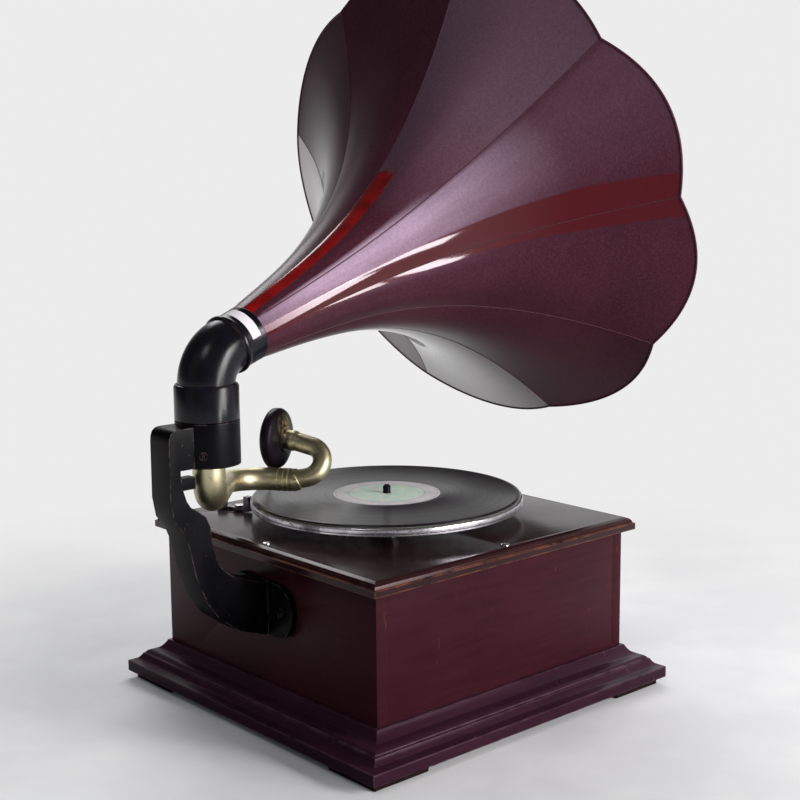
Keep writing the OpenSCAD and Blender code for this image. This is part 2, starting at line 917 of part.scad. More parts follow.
module disc_ring(r, z, h, bore) {
  translate([spin_x, 0, z])
    difference() {
      cylinder(r = r, h = h, $fn = 180);
      translate([0, 0, -1])
        cylinder(r = bore, h = h + 2, $fn = 64);
    }
}

module felt_mat() {
  color([0.3, 0.32, 0.26])
    disc_ring(platter_r - 2.2, felt_z, felt_t, 8);
}

module record() {
  color([0.12, 0.12, 0.13])
    disc_ring(record_r, record_z - record_t, record_t, seat_r + seat_gap);
}

module record_label() {
  color([0.6, 0.55, 0.62])
    disc_ring(label_r, record_z, label_t, seat_r + seat_gap);
}

module spindle() {
  color([0.75, 0.75, 0.76])
    translate([spin_x, 0, 0]) {
      translate([0, 0, plate_z0 - plate_t - 3])
        cylinder(r = shaft_r, h = felt_z + 2 - plate_z0 + plate_t + 3, $fn = 64);
      translate([0, 0, felt_z + 2])
        cylinder(r = seat_r, h = record_z + label_t - felt_z - 2, $fn = 64);
      translate([0, 0, record_z + label_t])
        cylinder(r = tip_r, h = tip_h - 2, $fn = 64);
      translate([0, 0, record_z + label_t + tip_h - 2])
        cylinder(r1 = tip_r, r2 = tip_r - 1.6, h = 2, $fn = 64);
    }
}

module on_spindle_gear(n, m, z, h, turn) {
  translate([0, 0, z])
    gear(n, m, h, turn);
}

module spindle_gears() {
  color([0.7, 0.6, 0.35])
    translate([spin_x, 0, 0])
      difference() {
        union() {
          on_spindle_gear(spin_pn, mod_small, second_wz - 1, second_wh + 2, spin_turn);
          on_spindle_gear(gov_wn, mod_small, gov_wz, gov_wh, gov_dir);
          translate([0, 0, second_wz + second_wh])
            cylinder(r = 6.5, h = gov_wz - second_wz - second_wh, $fn = 48);
        }
        translate([0, 0, second_wz - 5])
          cylinder(r = shaft_r + 0.01, h = 40, $fn = 64);
      }
}

/* motor */
spin_turn = -90;
second_turn = 90 + 180 / second_wn;

module plate(z) {
  translate([pillar_xy[3][0] - plate_edge, pillar_xy[3][1] - plate_edge, z])
    cube([pillar_xy[1][0] - pillar_xy[3][0] + 2 * plate_edge,
      pillar_xy[1][1] - pillar_xy[3][1] + 2 * plate_edge, plate_t]);
}

module plate_bores(z) {
  translate([spin_x, 0, z])
    cylinder(r = shaft_r + run_gap, h = 20, $fn = 64);
  translate([second_x, second_y, z])
    cylinder(r = 3 + run_gap, h = 20, $fn = 48);
  translate([barrel_x, barrel_y, z])
    cylinder(r = 5 + run_gap, h = 20, $fn = 64);
  translate([gov_x, gov_y, z])
    cylinder(r = 2 + run_gap, h = 20, $fn = 48);
  for (p = pillar_xy)
    translate([p[0], p[1], z])
      cylinder(r = screw_r + screw_gap, h = 20, $fn = 48);
}

module motor_top_plate() {
  color([0.5, 0.5, 0.48])
    difference() {
      plate(plate_z1);
      plate_bores(plate_z1 - 5);
    }
}

module motor_lower_plate() {
  color([0.5, 0.5, 0.48])
    difference() {
      plate(plate_z0 - plate_t);
      plate_bores(plate_z0 - plate_t - 5);
    }
}

module motor_pillars() {
  color([0.6, 0.58, 0.5])
    for (p = pillar_xy)
      translate([p[0], p[1], 0]) {
        translate([0, 0, plate_z0])
          tube(pillar_r, pillar_r - screw_r - screw_gap, plate_z1 - plate_z0);
        translate([0, 0, plate_z1 + plate_t])
          tube(pillar_r, pillar_r - screw_r - screw_gap, case_top - plate_z1 - plate_t);
      }
}

module motor_screws() {
  color([0.3, 0.3, 0.3])
    for (p = pillar_xy)
      translate([p[0], p[1], plate_z0 - plate_t])
        mirror([0, 0, 1])
          screw(screw_r, case_top + 5 - plate_z0 + plate_t, 4, 2.5);
}

module second_arbor() {
  color([0.7, 0.6, 0.35])
    translate([second_x, second_y, 0]) {
      translate([0, 0, plate_z0 - plate_t - 1])
        cylinder(r = 3, h = plate_z1 - plate_z0 + 2 * plate_t + 2, $fn = 48);
      translate([0, 0, great_z - 1])
        gear(second_pn, mod_big, great_h + 2, 0);
      translate([0, 0, second_wz])
        gear(second_wn, mod_small, second_wh, second_turn);
    }
}

module spring_barrel() {
  color([0.66, 0.58, 0.36])
    translate([barrel_x, barrel_y, 0])
      difference() {
        union() {
          translate([0, 0, great_z])
            gear(great_n, mod_big, great_h, 180 + 180 / great_n);
          translate([0, 0, drum_z])
            cylinder(r = drum_r, h = drum_h, $fn = 120);
        }
        translate([0, 0, drum_z])
          cylinder(r = drum_r - drum_wall, h = drum_h + 1, $fn = 120);
        translate([0, 0, great_z - 1])
          cylinder(r = 5 + run_gap, h = 40, $fn = 64);
      }
}

module barrel_cover() {
  color([0.6, 0.55, 0.36])
    translate([barrel_x, barrel_y, drum_z + drum_h])
      difference() {
        cylinder(r = drum_r, h = 1.5, $fn = 120);
        translate([0, 0, -1])
          cylinder(r = 5 + run_gap, h = 4, $fn = 64);
      }
}

TURNS = 6;
STEPS = 30;

module mainspring() {
  color([0.35, 0.36, 0.4])
    translate([barrel_x, barrel_y, drum_z + 1])
      linear_extrude(height = drum_h - 2)
        polygon(concat(
          [for (i = [0 : TURNS * STEPS]) let (a = i * 360 / STEPS, r = 15 + 3.5 * i / STEPS)
            [r * cos(a), r * sin(a)]],
          [for (i = [TURNS * STEPS : -1 : 0]) let (a = i * 360 / STEPS, r = 16 + 3.5 * i / STEPS)
            [r * cos(a), r * sin(a)]]));
}

module barrel_arbor() {
  color([0.55, 0.55, 0.55])
    translate([barrel_x, barrel_y, plate_z0 - plate_t - 1])
      cylinder(r = 5, h = plate_z1 - plate_z0 + 2 * plate_t + 2, $fn = 64);
}

module winding_crown() {
  color([0.62, 0.56, 0.34])
    translate([barrel_x, barrel_y, 0])
      difference() {
        union() {
          translate([0, 0, crown_z - 5])
            cylinder(r = crown_r + 1.8, h = 3, $fn = 64);
          for (i = [0 : crown_n - 1])
            rotate([0, 0, i * 360 / crown_n])
              translate([crown_r - 1.5, -0.7, crown_z - 2.2])
                cube([3, 1.4, 3.4]);
        }
        translate([0, 0, crown_z - 6])
          cylinder(r = 5.01, h = 8, $fn = 64);
      }
}

module governor_shaft() {
  color([0.6, 0.6, 0.6])
    translate([gov_x, gov_y, 0]) {
      translate([0, 0, plate_z0 - plate_t - 1])
        cylinder(r = 2, h = plate_z1 - plate_z0 + 2 * plate_t + 2, $fn = 48);
      translate([0, 0, gov_wz - 1])
        gear(gov_pn, mod_small, gov_wh + 2, gov_dir + 180 + 180 / gov_pn);
      translate([0, 0, 96])
        cylinder(r = 7, h = 6, $fn = 48);
      translate([0, 0, 58])
        cylinder(r = 7, h = 4, $fn = 48);
      translate([0, 0, 52])
        cylinder(r = 13, h = 1.5, $fn = 64);
      translate([0, 0, 53])
        cylinder(r = 5, h = 6, $fn = 48);
    }
}

module governor_weights() {
  color([0.62, 0.55, 0.34])
    for (q = [0 : 2])
      translate([gov_x, gov_y, 0])
        rotate([0, 0, 120 * q]) {
          translate([7, -2.5, 58])
            cube([0.6, 5, 44]);
          translate([10.5, 0, 74])
            cylinder(r = 4.5, h = 12, $fn = 48);
        }
}

/* crank */
module crank_bearing() {
  color([0.55, 0.5, 0.4])
    translate([0, barrel_y, crank_z])
      rotate([0, 90, 0])
        difference() {
          union() {
            translate([0, 0, inner - 6])
              cylinder(r = bearing_r - screw_gap, h = wall + 6, $fn = 64);
            translate([0, 0, half])
              cylinder(r = 19, h = 3, $fn = 64);
          }
          translate([0, 0, inner - 10])
            cylinder(r = 5 + run_gap, h = 40, $fn = 64);
        }
}

module crank_shaft() {
  color([0.6, 0.6, 0.6])
    translate([0, barrel_y, crank_z])
      rotate([0, 90, 0]) {
        translate([0, 0, wind_x - wind_w / 2])
          cylinder(r = 5, h = crank_out - wind_x + wind_w / 2, $fn = 64);
        translate([0, 0, wind_x - wind_w / 2])
          difference() {
            rotate([0, 0, 180 / wind_pn])
              linear_extrude(height = wind_w)
                gear2d(wind_pn, wind_mod, 0.5);
            translate([0, 0, -1])
              cylinder(r = 4, h = wind_w + 2, $fn = 48);
          }
      }
}

module crank_arm() {
  color([0.45, 0.45, 0.45])
    translate([crank_out, barrel_y, crank_z])
      rotate([0, 90, 0])
        difference() {
          union() {
            cylinder(r = 9, h = 8, $fn = 64);
            translate([0, -5, 0])
              cube([crank_len, 10, 6]);
            translate([crank_len, 0, 0])
              cylinder(r = 7, h = 6, $fn = 64);
            translate([crank_len, 0, 6])
              cylinder(r = 3, h = 60, $fn = 48);
            translate([crank_len, 0, 65])
              cylinder(r = 5, h = 1.5, $fn = 48);
          }
        }
}

module crank_handle() {
  color([0.12, 0.07, 0.05])
    translate([crank_out + 6 + part_gap, barrel_y, crank_z - crank_len])
      rotate([0, 90, 0])
        difference() {
          rotate_extrude($fn = 96)
            polygon([[0, 0], [7, 0], [8, 4], [9.5, 16], [10, 30], [9.6, 42], [8.5, 52], [7, 58], [0, 58]]);
          translate([0, 0, -1])
            cylinder(r = 3 + run_gap, h = 70, $fn = 48);
        }
}

/* controls on the board */
module brake_lever() {
  color([0.12, 0.11, 0.12])
    translate([brake_piv[0], brake_piv[1], board_top + 0.8])
      rotate([0, 0, 191])
        difference() {
          union() {
            translate([-22, -3, 0])
              cube([22 + pad_x + pad_w, 6, 2]);
            cylinder(r = 6, h = 3, $fn = 48);
            translate([-22, 0, 0])
              cylinder(r = 5, h = 7, $fn = 48);
            translate([pad_x, -pad_w / 2, 0])
              cube([pad_w, pad_w, pad_h]);
          }
          translate([0, 0, -1])
            cylinder(r = 2.5 + run_gap, h = 10, $fn = 48);
        }
}

module brake_post() {
  color([0.6, 0.6, 0.55])
    translate([brake_piv[0], brake_piv[1], board_top - 5]) {
      cylinder(r = 2.5, h = 5 + 0.8 + 3 + part_gap, $fn = 48);
      translate([0, 0, 5 + 0.8 + 3 + part_gap])
        cylinder(r = 4.5, h = 1.6, $fn = 48);
      translate([0, 0, 5])
        cylinder(r = 4.5, h = 0.5, $fn = 48);
    }
}

module speed_dial() {
  color([0.7, 0.68, 0.6])
    translate([speed_at[0], speed_at[1], board_top])
      difference() {
        cylinder(r = 17, h = 1.2, $fn = 96);
        translate([0, 0, -1])
          cylinder(r = 3 + part_gap, h = 4, $fn = 48);
      }
}

module speed_knob() {
  color([0.15, 0.13, 0.13])
    translate([speed_at[0], speed_at[1], board_top + 1.2 + part_gap]) {
      cylinder(r = 9, h = 6, $fn = 64);
      translate([0, 0, 6])
        cylinder(r1 = 9, r2 = 6.5, h = 2.5, $fn = 64);
      translate([0, -1, 0])
        cube([14, 2, 1.5]);
      translate([0, 0, -board_t - 10])
        cylinder(r = 3, h = board_t + 10, $fn = 48);
      translate([-12, -4, -board_t - 9])
        cube([16, 8, 3]);
    }
}

front_panel();
back_panel();
left_panel();
right_panel();
bottom_board();
corner_blocks();
base_moulding();
foot_frame();
top_board();
top_board_screws();
horn_bracket();
bracket_screws();
socket_set_screw();
elbow_collar();
horn_elbow();
horn_neck();
for (k = [1 : PETALS])
  petal(k - 1);
tone_arm();
arm_flange();
gooseneck();
soundbox_case();
soundbox_ring();
diaphragm();
needle_bar();
needle();
needle_screw();
platter();
felt_mat();
record();
record_label();
spindle();
spindle_gears();
motor_top_plate();
motor_lower_plate();
motor_pillars();
motor_screws();
second_arbor();
spring_barrel();
barrel_cover();
mainspring();
barrel_arbor();
winding_crown();
governor_shaft();
governor_weights();
crank_bearing();
crank_shaft();
crank_arm();
crank_handle();
brake_lever();
brake_post();
speed_dial();
speed_knob();
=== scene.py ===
"""Dresses the horn gramophone: case, horn, tone arm, turntable, motor, floor, light and camera."""

import logging
import math
from collections.abc import Iterable, Sequence
from dataclasses import dataclass, field
from enum import Enum

import bmesh
import bpy
from mathutils import Matrix, Vector, noise


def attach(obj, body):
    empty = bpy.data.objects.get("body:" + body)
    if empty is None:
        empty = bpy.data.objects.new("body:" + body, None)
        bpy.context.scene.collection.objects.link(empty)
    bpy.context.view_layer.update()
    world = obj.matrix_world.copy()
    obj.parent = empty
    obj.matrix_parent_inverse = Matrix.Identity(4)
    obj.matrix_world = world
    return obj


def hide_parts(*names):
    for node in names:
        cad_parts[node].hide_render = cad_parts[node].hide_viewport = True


log = logging.getLogger("gramophone")
Colour = tuple[float, float, float]
Stop = tuple[float, Colour]
Profile = Sequence[tuple[float, float]]

MM = 0.001
MERGE = 1e-6  # metres within which corners of a made piece are one
WELD = 2e-6  # the same for the corners of a copied solid
FLAT = 1.0  # degrees below which two faces of a copied solid are one
TUBE_SMOOTH = 32.0  # largest angle that stays smooth on tubes and copied solids
ROUND_SMOOTH = 40.0  # the same on turned pieces and wires
PETAL_SMOOTH = 50.0  # the same on the petals


class Join(Enum):
    """How two values of a pattern are joined."""

    PLUS = "ADD"
    LESS = "SUBTRACT"
    TIMES = "MULTIPLY"
    LARGER = "MAXIMUM"


class Body(Enum):
    """The bodies that the pieces ride on."""

    CASE = "case"
    ELBOW = "elbow"
    HORN = "horn"
    ARM = "arm"
    HEAD = "sound_head"
    TURNTABLE = "turntable"
    CRANK = "crank"
    HANDLE = "handle"
    BRAKE = "brake"
    SPEED = "speed"


class Slot(Enum):
    """The names of the pieces' material slots."""

    PANELS = "panels"
    BOARD = "board"
    PLAIN_WOOD = "plain_wood"
    MOULDING = "moulding"
    FEET = "feet"
    BRACKET = "bracket"
    BLACK_TUBE = "black_tube"
    HORN = "horn"
    BRASS = "brass"
    SOUNDBOX = "soundbox"
    STEEL = "steel"
    NICKEL = "nickel"
    RECORD = "record"
    LABEL = "label"
    BLACK_STEEL = "black_steel"
    TURNED_WOOD = "turned_wood"


class Shader:
    """Writes the node tree of one material."""

    def __init__(self, name: str) -> None:
        """Start an empty principled material.

        Args:
            name: the material's name.
        """
        self.material = bpy.data.materials.new(name)
        self.material.use_nodes = True
        self.tree = self.material.node_tree
        self.tree.nodes.clear()
        self.out = self.tree.nodes.new("ShaderNodeOutputMaterial")
        self.surface = self.tree.nodes.new("ShaderNodeBsdfPrincipled")
        self.tree.links.new(self.surface.outputs[0], self.out.inputs["Surface"])

    def add(self, kind: str, **inputs: object) -> bpy.types.Node:
        """Add a node and fill its inputs.

        Args:
            kind: the node's type name, without its prefix.
            inputs: values or sockets by input name, with _ for a blank.

        Returns:
            The new node.
        """
        node = self.tree.nodes.new("ShaderNode" + kind)
        for key, value in inputs.items():
            self.plug(node.inputs[key.replace("_", " ")], value)
        return node

    def plug(self, socket: bpy.types.NodeSocket, value: object) -> None:
        """Set an input to a constant or link a socket to it.

        Args:
            socket: the input.
            value: a number, a colour or another socket.
        """
        if isinstance(value, bpy.types.NodeSocket):
            self.tree.links.new(value, socket)
        elif isinstance(value, tuple) and len(value) == 3 and socket.type == "RGBA":
            socket.default_value = (*value, 1.0)
        else:
            socket.default_value = value

    def coords(self, scale: Sequence[float] = (1, 1, 1), shift: Sequence[float] = (0, 0, 0)) -> bpy.types.NodeSocket:
        """Give the object coordinates of the surface.

        Args:
            scale: stretch along each axis.
            shift: offset along each axis.

        Returns:
            The vector socket.
        """
        source = self.add("TexCoord")
        place = self.add("Mapping", Vector=source.outputs["Object"])
        place.inputs["Scale"].default_value = scale
        place.inputs["Location"].default_value = shift
        return place.outputs["Vector"]

    def length(self, vector: bpy.types.NodeSocket) -> bpy.types.NodeSocket:
        """Give the length of a vector.

        Args:
            vector: the vector socket.

        Returns:
            The value socket.
        """
        made = self.add("VectorMath", Vector=vector)
        made.operation = "LENGTH"
        return made.outputs["Value"]

    def disc(self, centre: float) -> tuple[bpy.types.NodeSocket, bpy.types.NodeSocket]:
        """Give flat coordinates round an upright axis, and the distance from it.

        Args:
            centre: the axis along x, in metres.

        Returns:
            The vector socket and the value socket.
        """
        part = self.add("SeparateXYZ", Vector=self.coords(shift=(-centre, 0, 0)))
        flat = self.add("CombineXYZ", X=part.outputs["X"], Y=part.outputs["Y"])
        return flat.outputs[0], self.length(flat.outputs[0])

    def noise(self, vector: bpy.types.NodeSocket, scale: float, detail: float = 4.0,
              rough: float = 0.55) -> bpy.types.NodeSocket:
        """Give a noise value from 0 to 1.

        Args:
            vector: coordinates.
            scale: repeats per metre.
            detail: octaves.
            rough: weight of the fine octaves.

        Returns:
            The value socket.
        """
        made = self.add("TexNoise", Vector=vector, Scale=scale, Detail=detail, Roughness=rough)
        return made.outputs[0]

    def ramp(self, value: bpy.types.NodeSocket, stops: Sequence[Stop]) -> bpy.types.NodeSocket:
        """Turn a value into colours.

        Args:
            value: the value socket.
            stops: places and colours, in order.

        Returns:
            The colour socket.
        """
        made = self.add("ValToRGB", Fac=value)
        made.color_ramp.elements[0].position = stops[0][0]
        made.color_ramp.elements[0].color = (*stops[0][1], 1)
        made.color_ramp.elements[1].position = stops[-1][0]
        made.color_ramp.elements[1].color = (*stops[-1][1], 1)
        for place, colour in stops[1:-1]:
            made.color_ramp.elements.new(place).color = (*colour, 1)
        return made.outputs["Color"]

    def level(self, value: bpy.types.NodeSocket, low: float, high: float, to_low: float = 0.0,
              to_high: float = 1.0) -> bpy.types.NodeSocket:
        """Stretch a range of a value to another range, held at its ends.

        Args:
            value: the value socket.
            low: start of the range.
            high: end of the range.
            to_low: value at the start.
            to_high: value at the end.

        Returns:
            The value socket.
        """
        made = self.add("MapRange", Value=value)
        for key, number in (("From Min", low), ("From Max", high), ("To Min", to_low), ("To Max", to_high)):
            made.inputs[key].default_value = number
        return made.outputs[0]

    def spread(self, noise_value: bpy.types.NodeSocket, to_low: float, to_high: float) -> bpy.types.NodeSocket:
        """Stretch the middle of a noise, where most of its values lie, to a range.

        Args:
            noise_value: the noise.
            to_low: start of the range.
            to_high: end of the range.

        Returns:
            The value socket.
        """
        return self.level(noise_value, 0.3, 0.7, to_low, to_high)

    def join(self, how: Join, first: object, second: object) -> bpy.types.NodeSocket:
        """Join two values and hold the result between 0 and 1.

        Args:
            how: the way they are joined.
            first: number or socket.
            second: number or socket.

        Returns:
            The value socket.
        """
        made = self.add("Math")
        made.operation = how.value
        made.use_clamp = True
        self.plug(made.inputs[0], first)
        self.plug(made.inputs[1], second)
        return made.outputs[0]

    def plus(self, first: object, second: object) -> bpy.types.NodeSocket:
        """Add two values, held between 0 and 1."""
        return self.join(Join.PLUS, first, second)

    def less(self, first: object, second: object) -> bpy.types.NodeSocket:
        """Take the second value from the first, held between 0 and 1."""
        return self.join(Join.LESS, first, second)

    def times(self, first: object, second: object) -> bpy.types.NodeSocket:
        """Multiply two values, held between 0 and 1."""
        return self.join(Join.TIMES, first, second)

    def larger(self, first: object, second: object) -> bpy.types.NodeSocket:
        """Give the larger of two values, held between 0 and 1."""
        return self.join(Join.LARGER, first, second)

    def mix(self, share: object, first: object, second: object) -> bpy.types.NodeSocket:
        """Mix two colours.

        Args:
            share: how much of the second.
            first: colour or socket.
            second: colour or socket.

        Returns:
            The colour socket.
        """
        made = self.add("Mix")
        made.data_type = "RGBA"
        self.plug(made.inputs[0], share)
        self.plug(made.inputs[6], first)
        self.plug(made.inputs[7], second)
        return made.outputs[2]

    def bump(self, height: bpy.types.NodeSocket, depth: float, strength: float = 1.0,
             before: bpy.types.NodeSocket | None = None) -> bpy.types.NodeSocket:
        """Give a normal raised by a height.

        Args:
            height: value socket.
            depth: height of the relief in metres.
            strength: share of the relief.
            before: a normal to start from.

        Returns:
            The normal socket.
        """
        made = self.add("Bump", Height=height, Distance=depth, Strength=strength)
        if before is not None:
            self.plug(made.inputs["Normal"], before)
        return made.outputs[0]

    def edges(self, radius: float) -> bpy.types.NodeSocket:
        """Give a value that is 1 near sharp edges and 0 elsewhere.

        Args:
            radius: reach from the edge in metres.

        Returns:
            The value socket.
        """
        soft = self.add("Bevel", Radius=radius)
        soft.samples = 6
        plain = self.add("NewGeometry")
        dot = self.add("VectorMath")
        dot.operation = "DOT_PRODUCT"
        self.plug(dot.inputs[0], soft.outputs[0])
        self.plug(dot.inputs[1], plain.outputs["Normal"])
        return self.level(dot.outputs["Value"], 1.0, 0.9)

    def mark(self, name: str) -> bpy.types.NodeSocket:
        """Give a value stored on the mesh.

        Args:
            name: the attribute's name.

        Returns:
            The value socket.
        """
        made = self.add("Attribute")
        made.attribute_name = name
        return made.outputs["Fac"]

    def seen_rays(self) -> bpy.types.NodeSocket:
        """Give a value that is 1 for what the camera sees, directly, in metal or through glass.

        Returns:
            The value socket.
        """
        path = self.add("LightPath")
        mirrored = self.plus(path.outputs["Is Glossy Ray"], path.outputs["Is Transmission Ray"])
        return self.plus(path.outputs["Is Camera Ray"], mirrored)

    def done(self, **inputs: object) -> bpy.types.Material:
        """Fill the surface's inputs and hand over the material.

        Args:
            inputs: values or sockets by input name, with _ for a blank.

        Returns:
            The material.
        """
        for key, value in inputs.items():
            self.plug(self.surface.inputs[key.replace("_", " ")], value)
        return self.material


@dataclass(frozen=True)
class Wood:
    """Stained and polished wood with long grain and worn edges."""

    name: str
    dark: Colour = (0.026, 0.0055, 0.0095)
    light: Colour = (0.045, 0.0090, 0.0150)
    worn: Colour = (0.20, 0.065, 0.035)
    tint: Colour = (0.30, 0.22, 0.24)
    grain: tuple[float, float, float] = (3.0, 3.0, 40.0)
    gloss: float = 0.3
    wear: float = 0.0
    nicks: float = 0.25
    shine: float = 0.12
    edge_reach: float = 0.0022
    pore_depth: float = 0.0001

    def make(self) -> bpy.types.Material:
        """Build the material.

        Returns:
            The material.
        """
        s = Shader(self.name)
        figure = s.noise(s.coords(scale=self.grain), scale=6.0, detail=6.0, rough=0.6)
        clouds = s.noise(s.coords(), scale=9.0, detail=3.0)
        base = s.ramp(s.plus(s.times(figure, 0.6), s.times(clouds, 0.4)), [(0.3, self.dark), (0.7, self.light)])
        rub = s.times(s.edges(self.edge_reach), s.level(s.noise(s.coords(), scale=60.0, detail=5.0), 0.35, 0.6))
        rub = s.times(rub, self.wear)
        marks = s.level(s.noise(s.coords(scale=(1, 1, 0.3)), scale=210.0, detail=2.0), 0.70, 0.76)
        colour = s.mix(rub, base, self.worn)
        colour = s.mix(s.times(marks, self.nicks), colour, self.worn)
        rough = s.spread(clouds, self.gloss - 0.06, self.gloss + 0.12)
        rough = s.plus(rough, s.times(rub, 0.35))
        relief = s.bump(figure, self.pore_depth, 0.5)
        return s.done(Base_Color=colour, Roughness=rough, Normal=relief, Specular_IOR_Level=self.shine,
                      Specular_Tint=self.tint)


@dataclass(frozen=True)
class Enamel:
    """Painted metal with clouding, fine grit, nicks and chipped edges; on the bracket the paler edge colour is partly a
    painted edge highlight.
    """

    name: str
    base: Colour = (0.0035, 0.003, 0.005)
    second: Colour = (0.007, 0.006, 0.009)
    edge_and_nick_colour: Colour = (0.07, 0.04, 0.035)
    gloss: float = 0.32
    edge_and_nick_share: float = 0.4
    grit: float = 0.00008
    shine: float = 0.1
    edge_reach: float = 0.0016

    def make(self) -> bpy.types.Material:
        """Build the material.

        Returns:
            The material.
        """
        s = Shader(self.name)
        clouds = s.noise(s.coords(), scale=26.0)
        specks = s.noise(s.coords(), scale=900.0, detail=2.0)
        base = s.mix(s.level(clouds, 0.35, 0.7), self.base, self.second)
        edge = s.times(s.edges(self.edge_reach), s.level(s.noise(s.coords(), scale=150.0), 0.45, 0.6))
        nick = s.level(s.noise(s.coords(), scale=330.0, detail=2.0), 0.73, 0.76)
        # paler colour at edges and nicks: chipped paint, and on the bracket, at full share, partly a painted edge
        # highlight
        wear = s.times(s.plus(edge, nick), self.edge_and_nick_share)
        colour = s.mix(wear, base, self.edge_and_nick_colour)
        rough = s.spread(clouds, self.gloss - 0.05, self.gloss + 0.1)
        relief = s.bump(specks, self.grit, 0.6)
        return s.done(Base_Color=colour, Roughness=rough, Normal=relief, Specular_IOR_Level=self.shine)


@dataclass(frozen=True)
class HornPaint:
    """Semi-matte burgundy horn paint with a painted lilac sheen (a painted highlight), fine speckle and glossy red
    lacquer.
    """

    name: str = "horn_paint"
    deep: Colour = (0.040, 0.0085, 0.0155)
    warm: Colour = (0.064, 0.0135, 0.024)
    speckle: Colour = (0.105, 0.046, 0.072)
    dust: Colour = (0.22, 0.15, 0.18)
    bare: Colour = (0.16, 0.11, 0.10)
    painted_sheen_colour: Colour = (0.560, 0.400, 0.540)
    lacquer: Colour = (0.070, 0.002, 0.004)
    fresh: Colour = (0.300, 0.006, 0.006)
    tint: Colour = (0.16, 0.09, 0.13)
    edge_reach: float = 0.0012
    grit: float = 0.00012

    def make(self) -> bpy.types.Material:
        """Build the material.

        Returns:
            The material.
        """
        s = Shader(self.name)
        strip = s.level(s.mark("lacquer"), 0.42, 0.58)
        clouds = s.noise(s.coords(), scale=7.0, detail=3.0)
        fine = s.noise(s.coords(), scale=420.0, detail=3.0, rough=0.7)
        specks = s.noise(s.coords(), scale=1500.0, detail=1.0)
        base = s.mix(s.level(clouds, 0.35, 0.7), self.deep, self.warm)
        base = s.mix(s.times(s.level(fine, 0.42, 0.68), 0.28), base, self.speckle)
        base = s.mix(s.times(s.level(specks, 0.66, 0.74), 0.15), base, self.dust)
        base = s.mix(s.times(s.edges(self.edge_reach), 0.35), base, self.bare)
        # painted highlight: a lilac sheen painted into the colour where the lamps' gloss falls on the petals
        base = s.mix(s.times(s.mark("bloom"), s.spread(fine, 0.75, 1.0)), base, self.painted_sheen_colour)
        depth = s.level(s.noise(s.coords(), scale=60.0), 0.35, 0.65, 0.35, 1.0)
        gloss = s.mix(s.times(s.mark("fresh"), depth), self.lacquer, self.fresh)
        colour = s.mix(strip, base, gloss)
        rough = s.less(s.spread(clouds, 0.31, 0.40), s.times(strip, 0.26))
        relief = s.bump(fine, self.grit, 0.55)
        coat = s.larger(s.times(strip, s.mark("gloss")), s.mark("coated"))
        return s.done(Base_Color=colour, Roughness=rough, Normal=relief, Specular_IOR_Level=0.9,
                      Specular_Tint=self.tint, Coat_Weight=coat, Coat_Roughness=0.07)


@dataclass(frozen=True)
class Metal:
    """Bare metal with patina, dark spots and fine scratches."""

    name: str
    bright: Colour
    dull: Colour
    stain: Colour
    gloss: float = 0.28
    stains: float = 0.5
    scratch_depth: float = 0.00004

    def make(self) -> bpy.types.Material:
        """Build the material.

        Returns:
            The material.
        """
        s = Shader(self.name)
        clouds = s.noise(s.coords(), scale=34.0, detail=5.0, rough=0.6)
        spots = s.level(s.noise(s.coords(), scale=190.0, detail=3.0, rough=0.6), 0.58, 0.72)
        lines = s.noise(s.coords(), scale=240.0, detail=3.0)
        base = s.mix(s.level(clouds, 0.35, 0.68), self.bright, self.dull)
        colour = s.mix(s.times(spots, self.stains), base, self.stain)
        rough = s.plus(s.spread(clouds, self.gloss, self.gloss + 0.16), s.times(spots, 0.2))
        relief = s.bump(lines, self.scratch_depth, 0.5)
        return s.done(Base_Color=colour, Metallic=1.0, Roughness=rough, Normal=relief)


@dataclass(frozen=True)
class WornBlack:
    """Black lacquer, rubbed through to brass in one spot and a little along its edges."""

    name: str = "worn_black_brass"
    black: Colour = (0.006, 0.004, 0.006)
    brass: Colour = (0.36, 0.26, 0.11)
    tint: Colour = (0.30, 0.25, 0.30)
    rubbed: tuple[float, float, float] = (0.078, 0.063, 0.244)
    rub_from: float = 0.014
    rub_to: float = 0.004
    edge_reach: float = 0.0010
    streak_depth: float = 0.0001

    def make(self) -> bpy.types.Material:
        """Build the material.

        Returns:
            The material.
        """
        s = Shader(self.name)
        big = s.noise(s.coords(), scale=42.0, detail=5.0, rough=0.65)
        streaks = s.noise(s.coords(scale=(3.0, 3.0, 0.6)), scale=160.0, detail=4.0, rough=0.7)
        away = s.length(s.coords(shift=tuple(-c for c in self.rubbed)))
        near = s.level(away, self.rub_from, self.rub_to)
        rub = s.times(s.level(s.times(big, s.plus(streaks, 0.35)), 0.30, 0.48), near)
        rub = s.larger(rub, s.times(s.edges(self.edge_reach), 0.1))
        rub = s.times(rub, s.level(streaks, 0.3, 0.5, 0.5, 1.0))
        colour = s.mix(rub, self.black, self.brass)
        metal = s.times(rub, 0.9)
        rough = s.spread(streaks, 0.3, 0.5)
        relief = s.bump(streaks, self.streak_depth, 0.5)
        return s.done(Base_Color=colour, Metallic=metal, Roughness=rough, Normal=relief, Specular_IOR_Level=0.3,
                      Specular_Tint=self.tint)


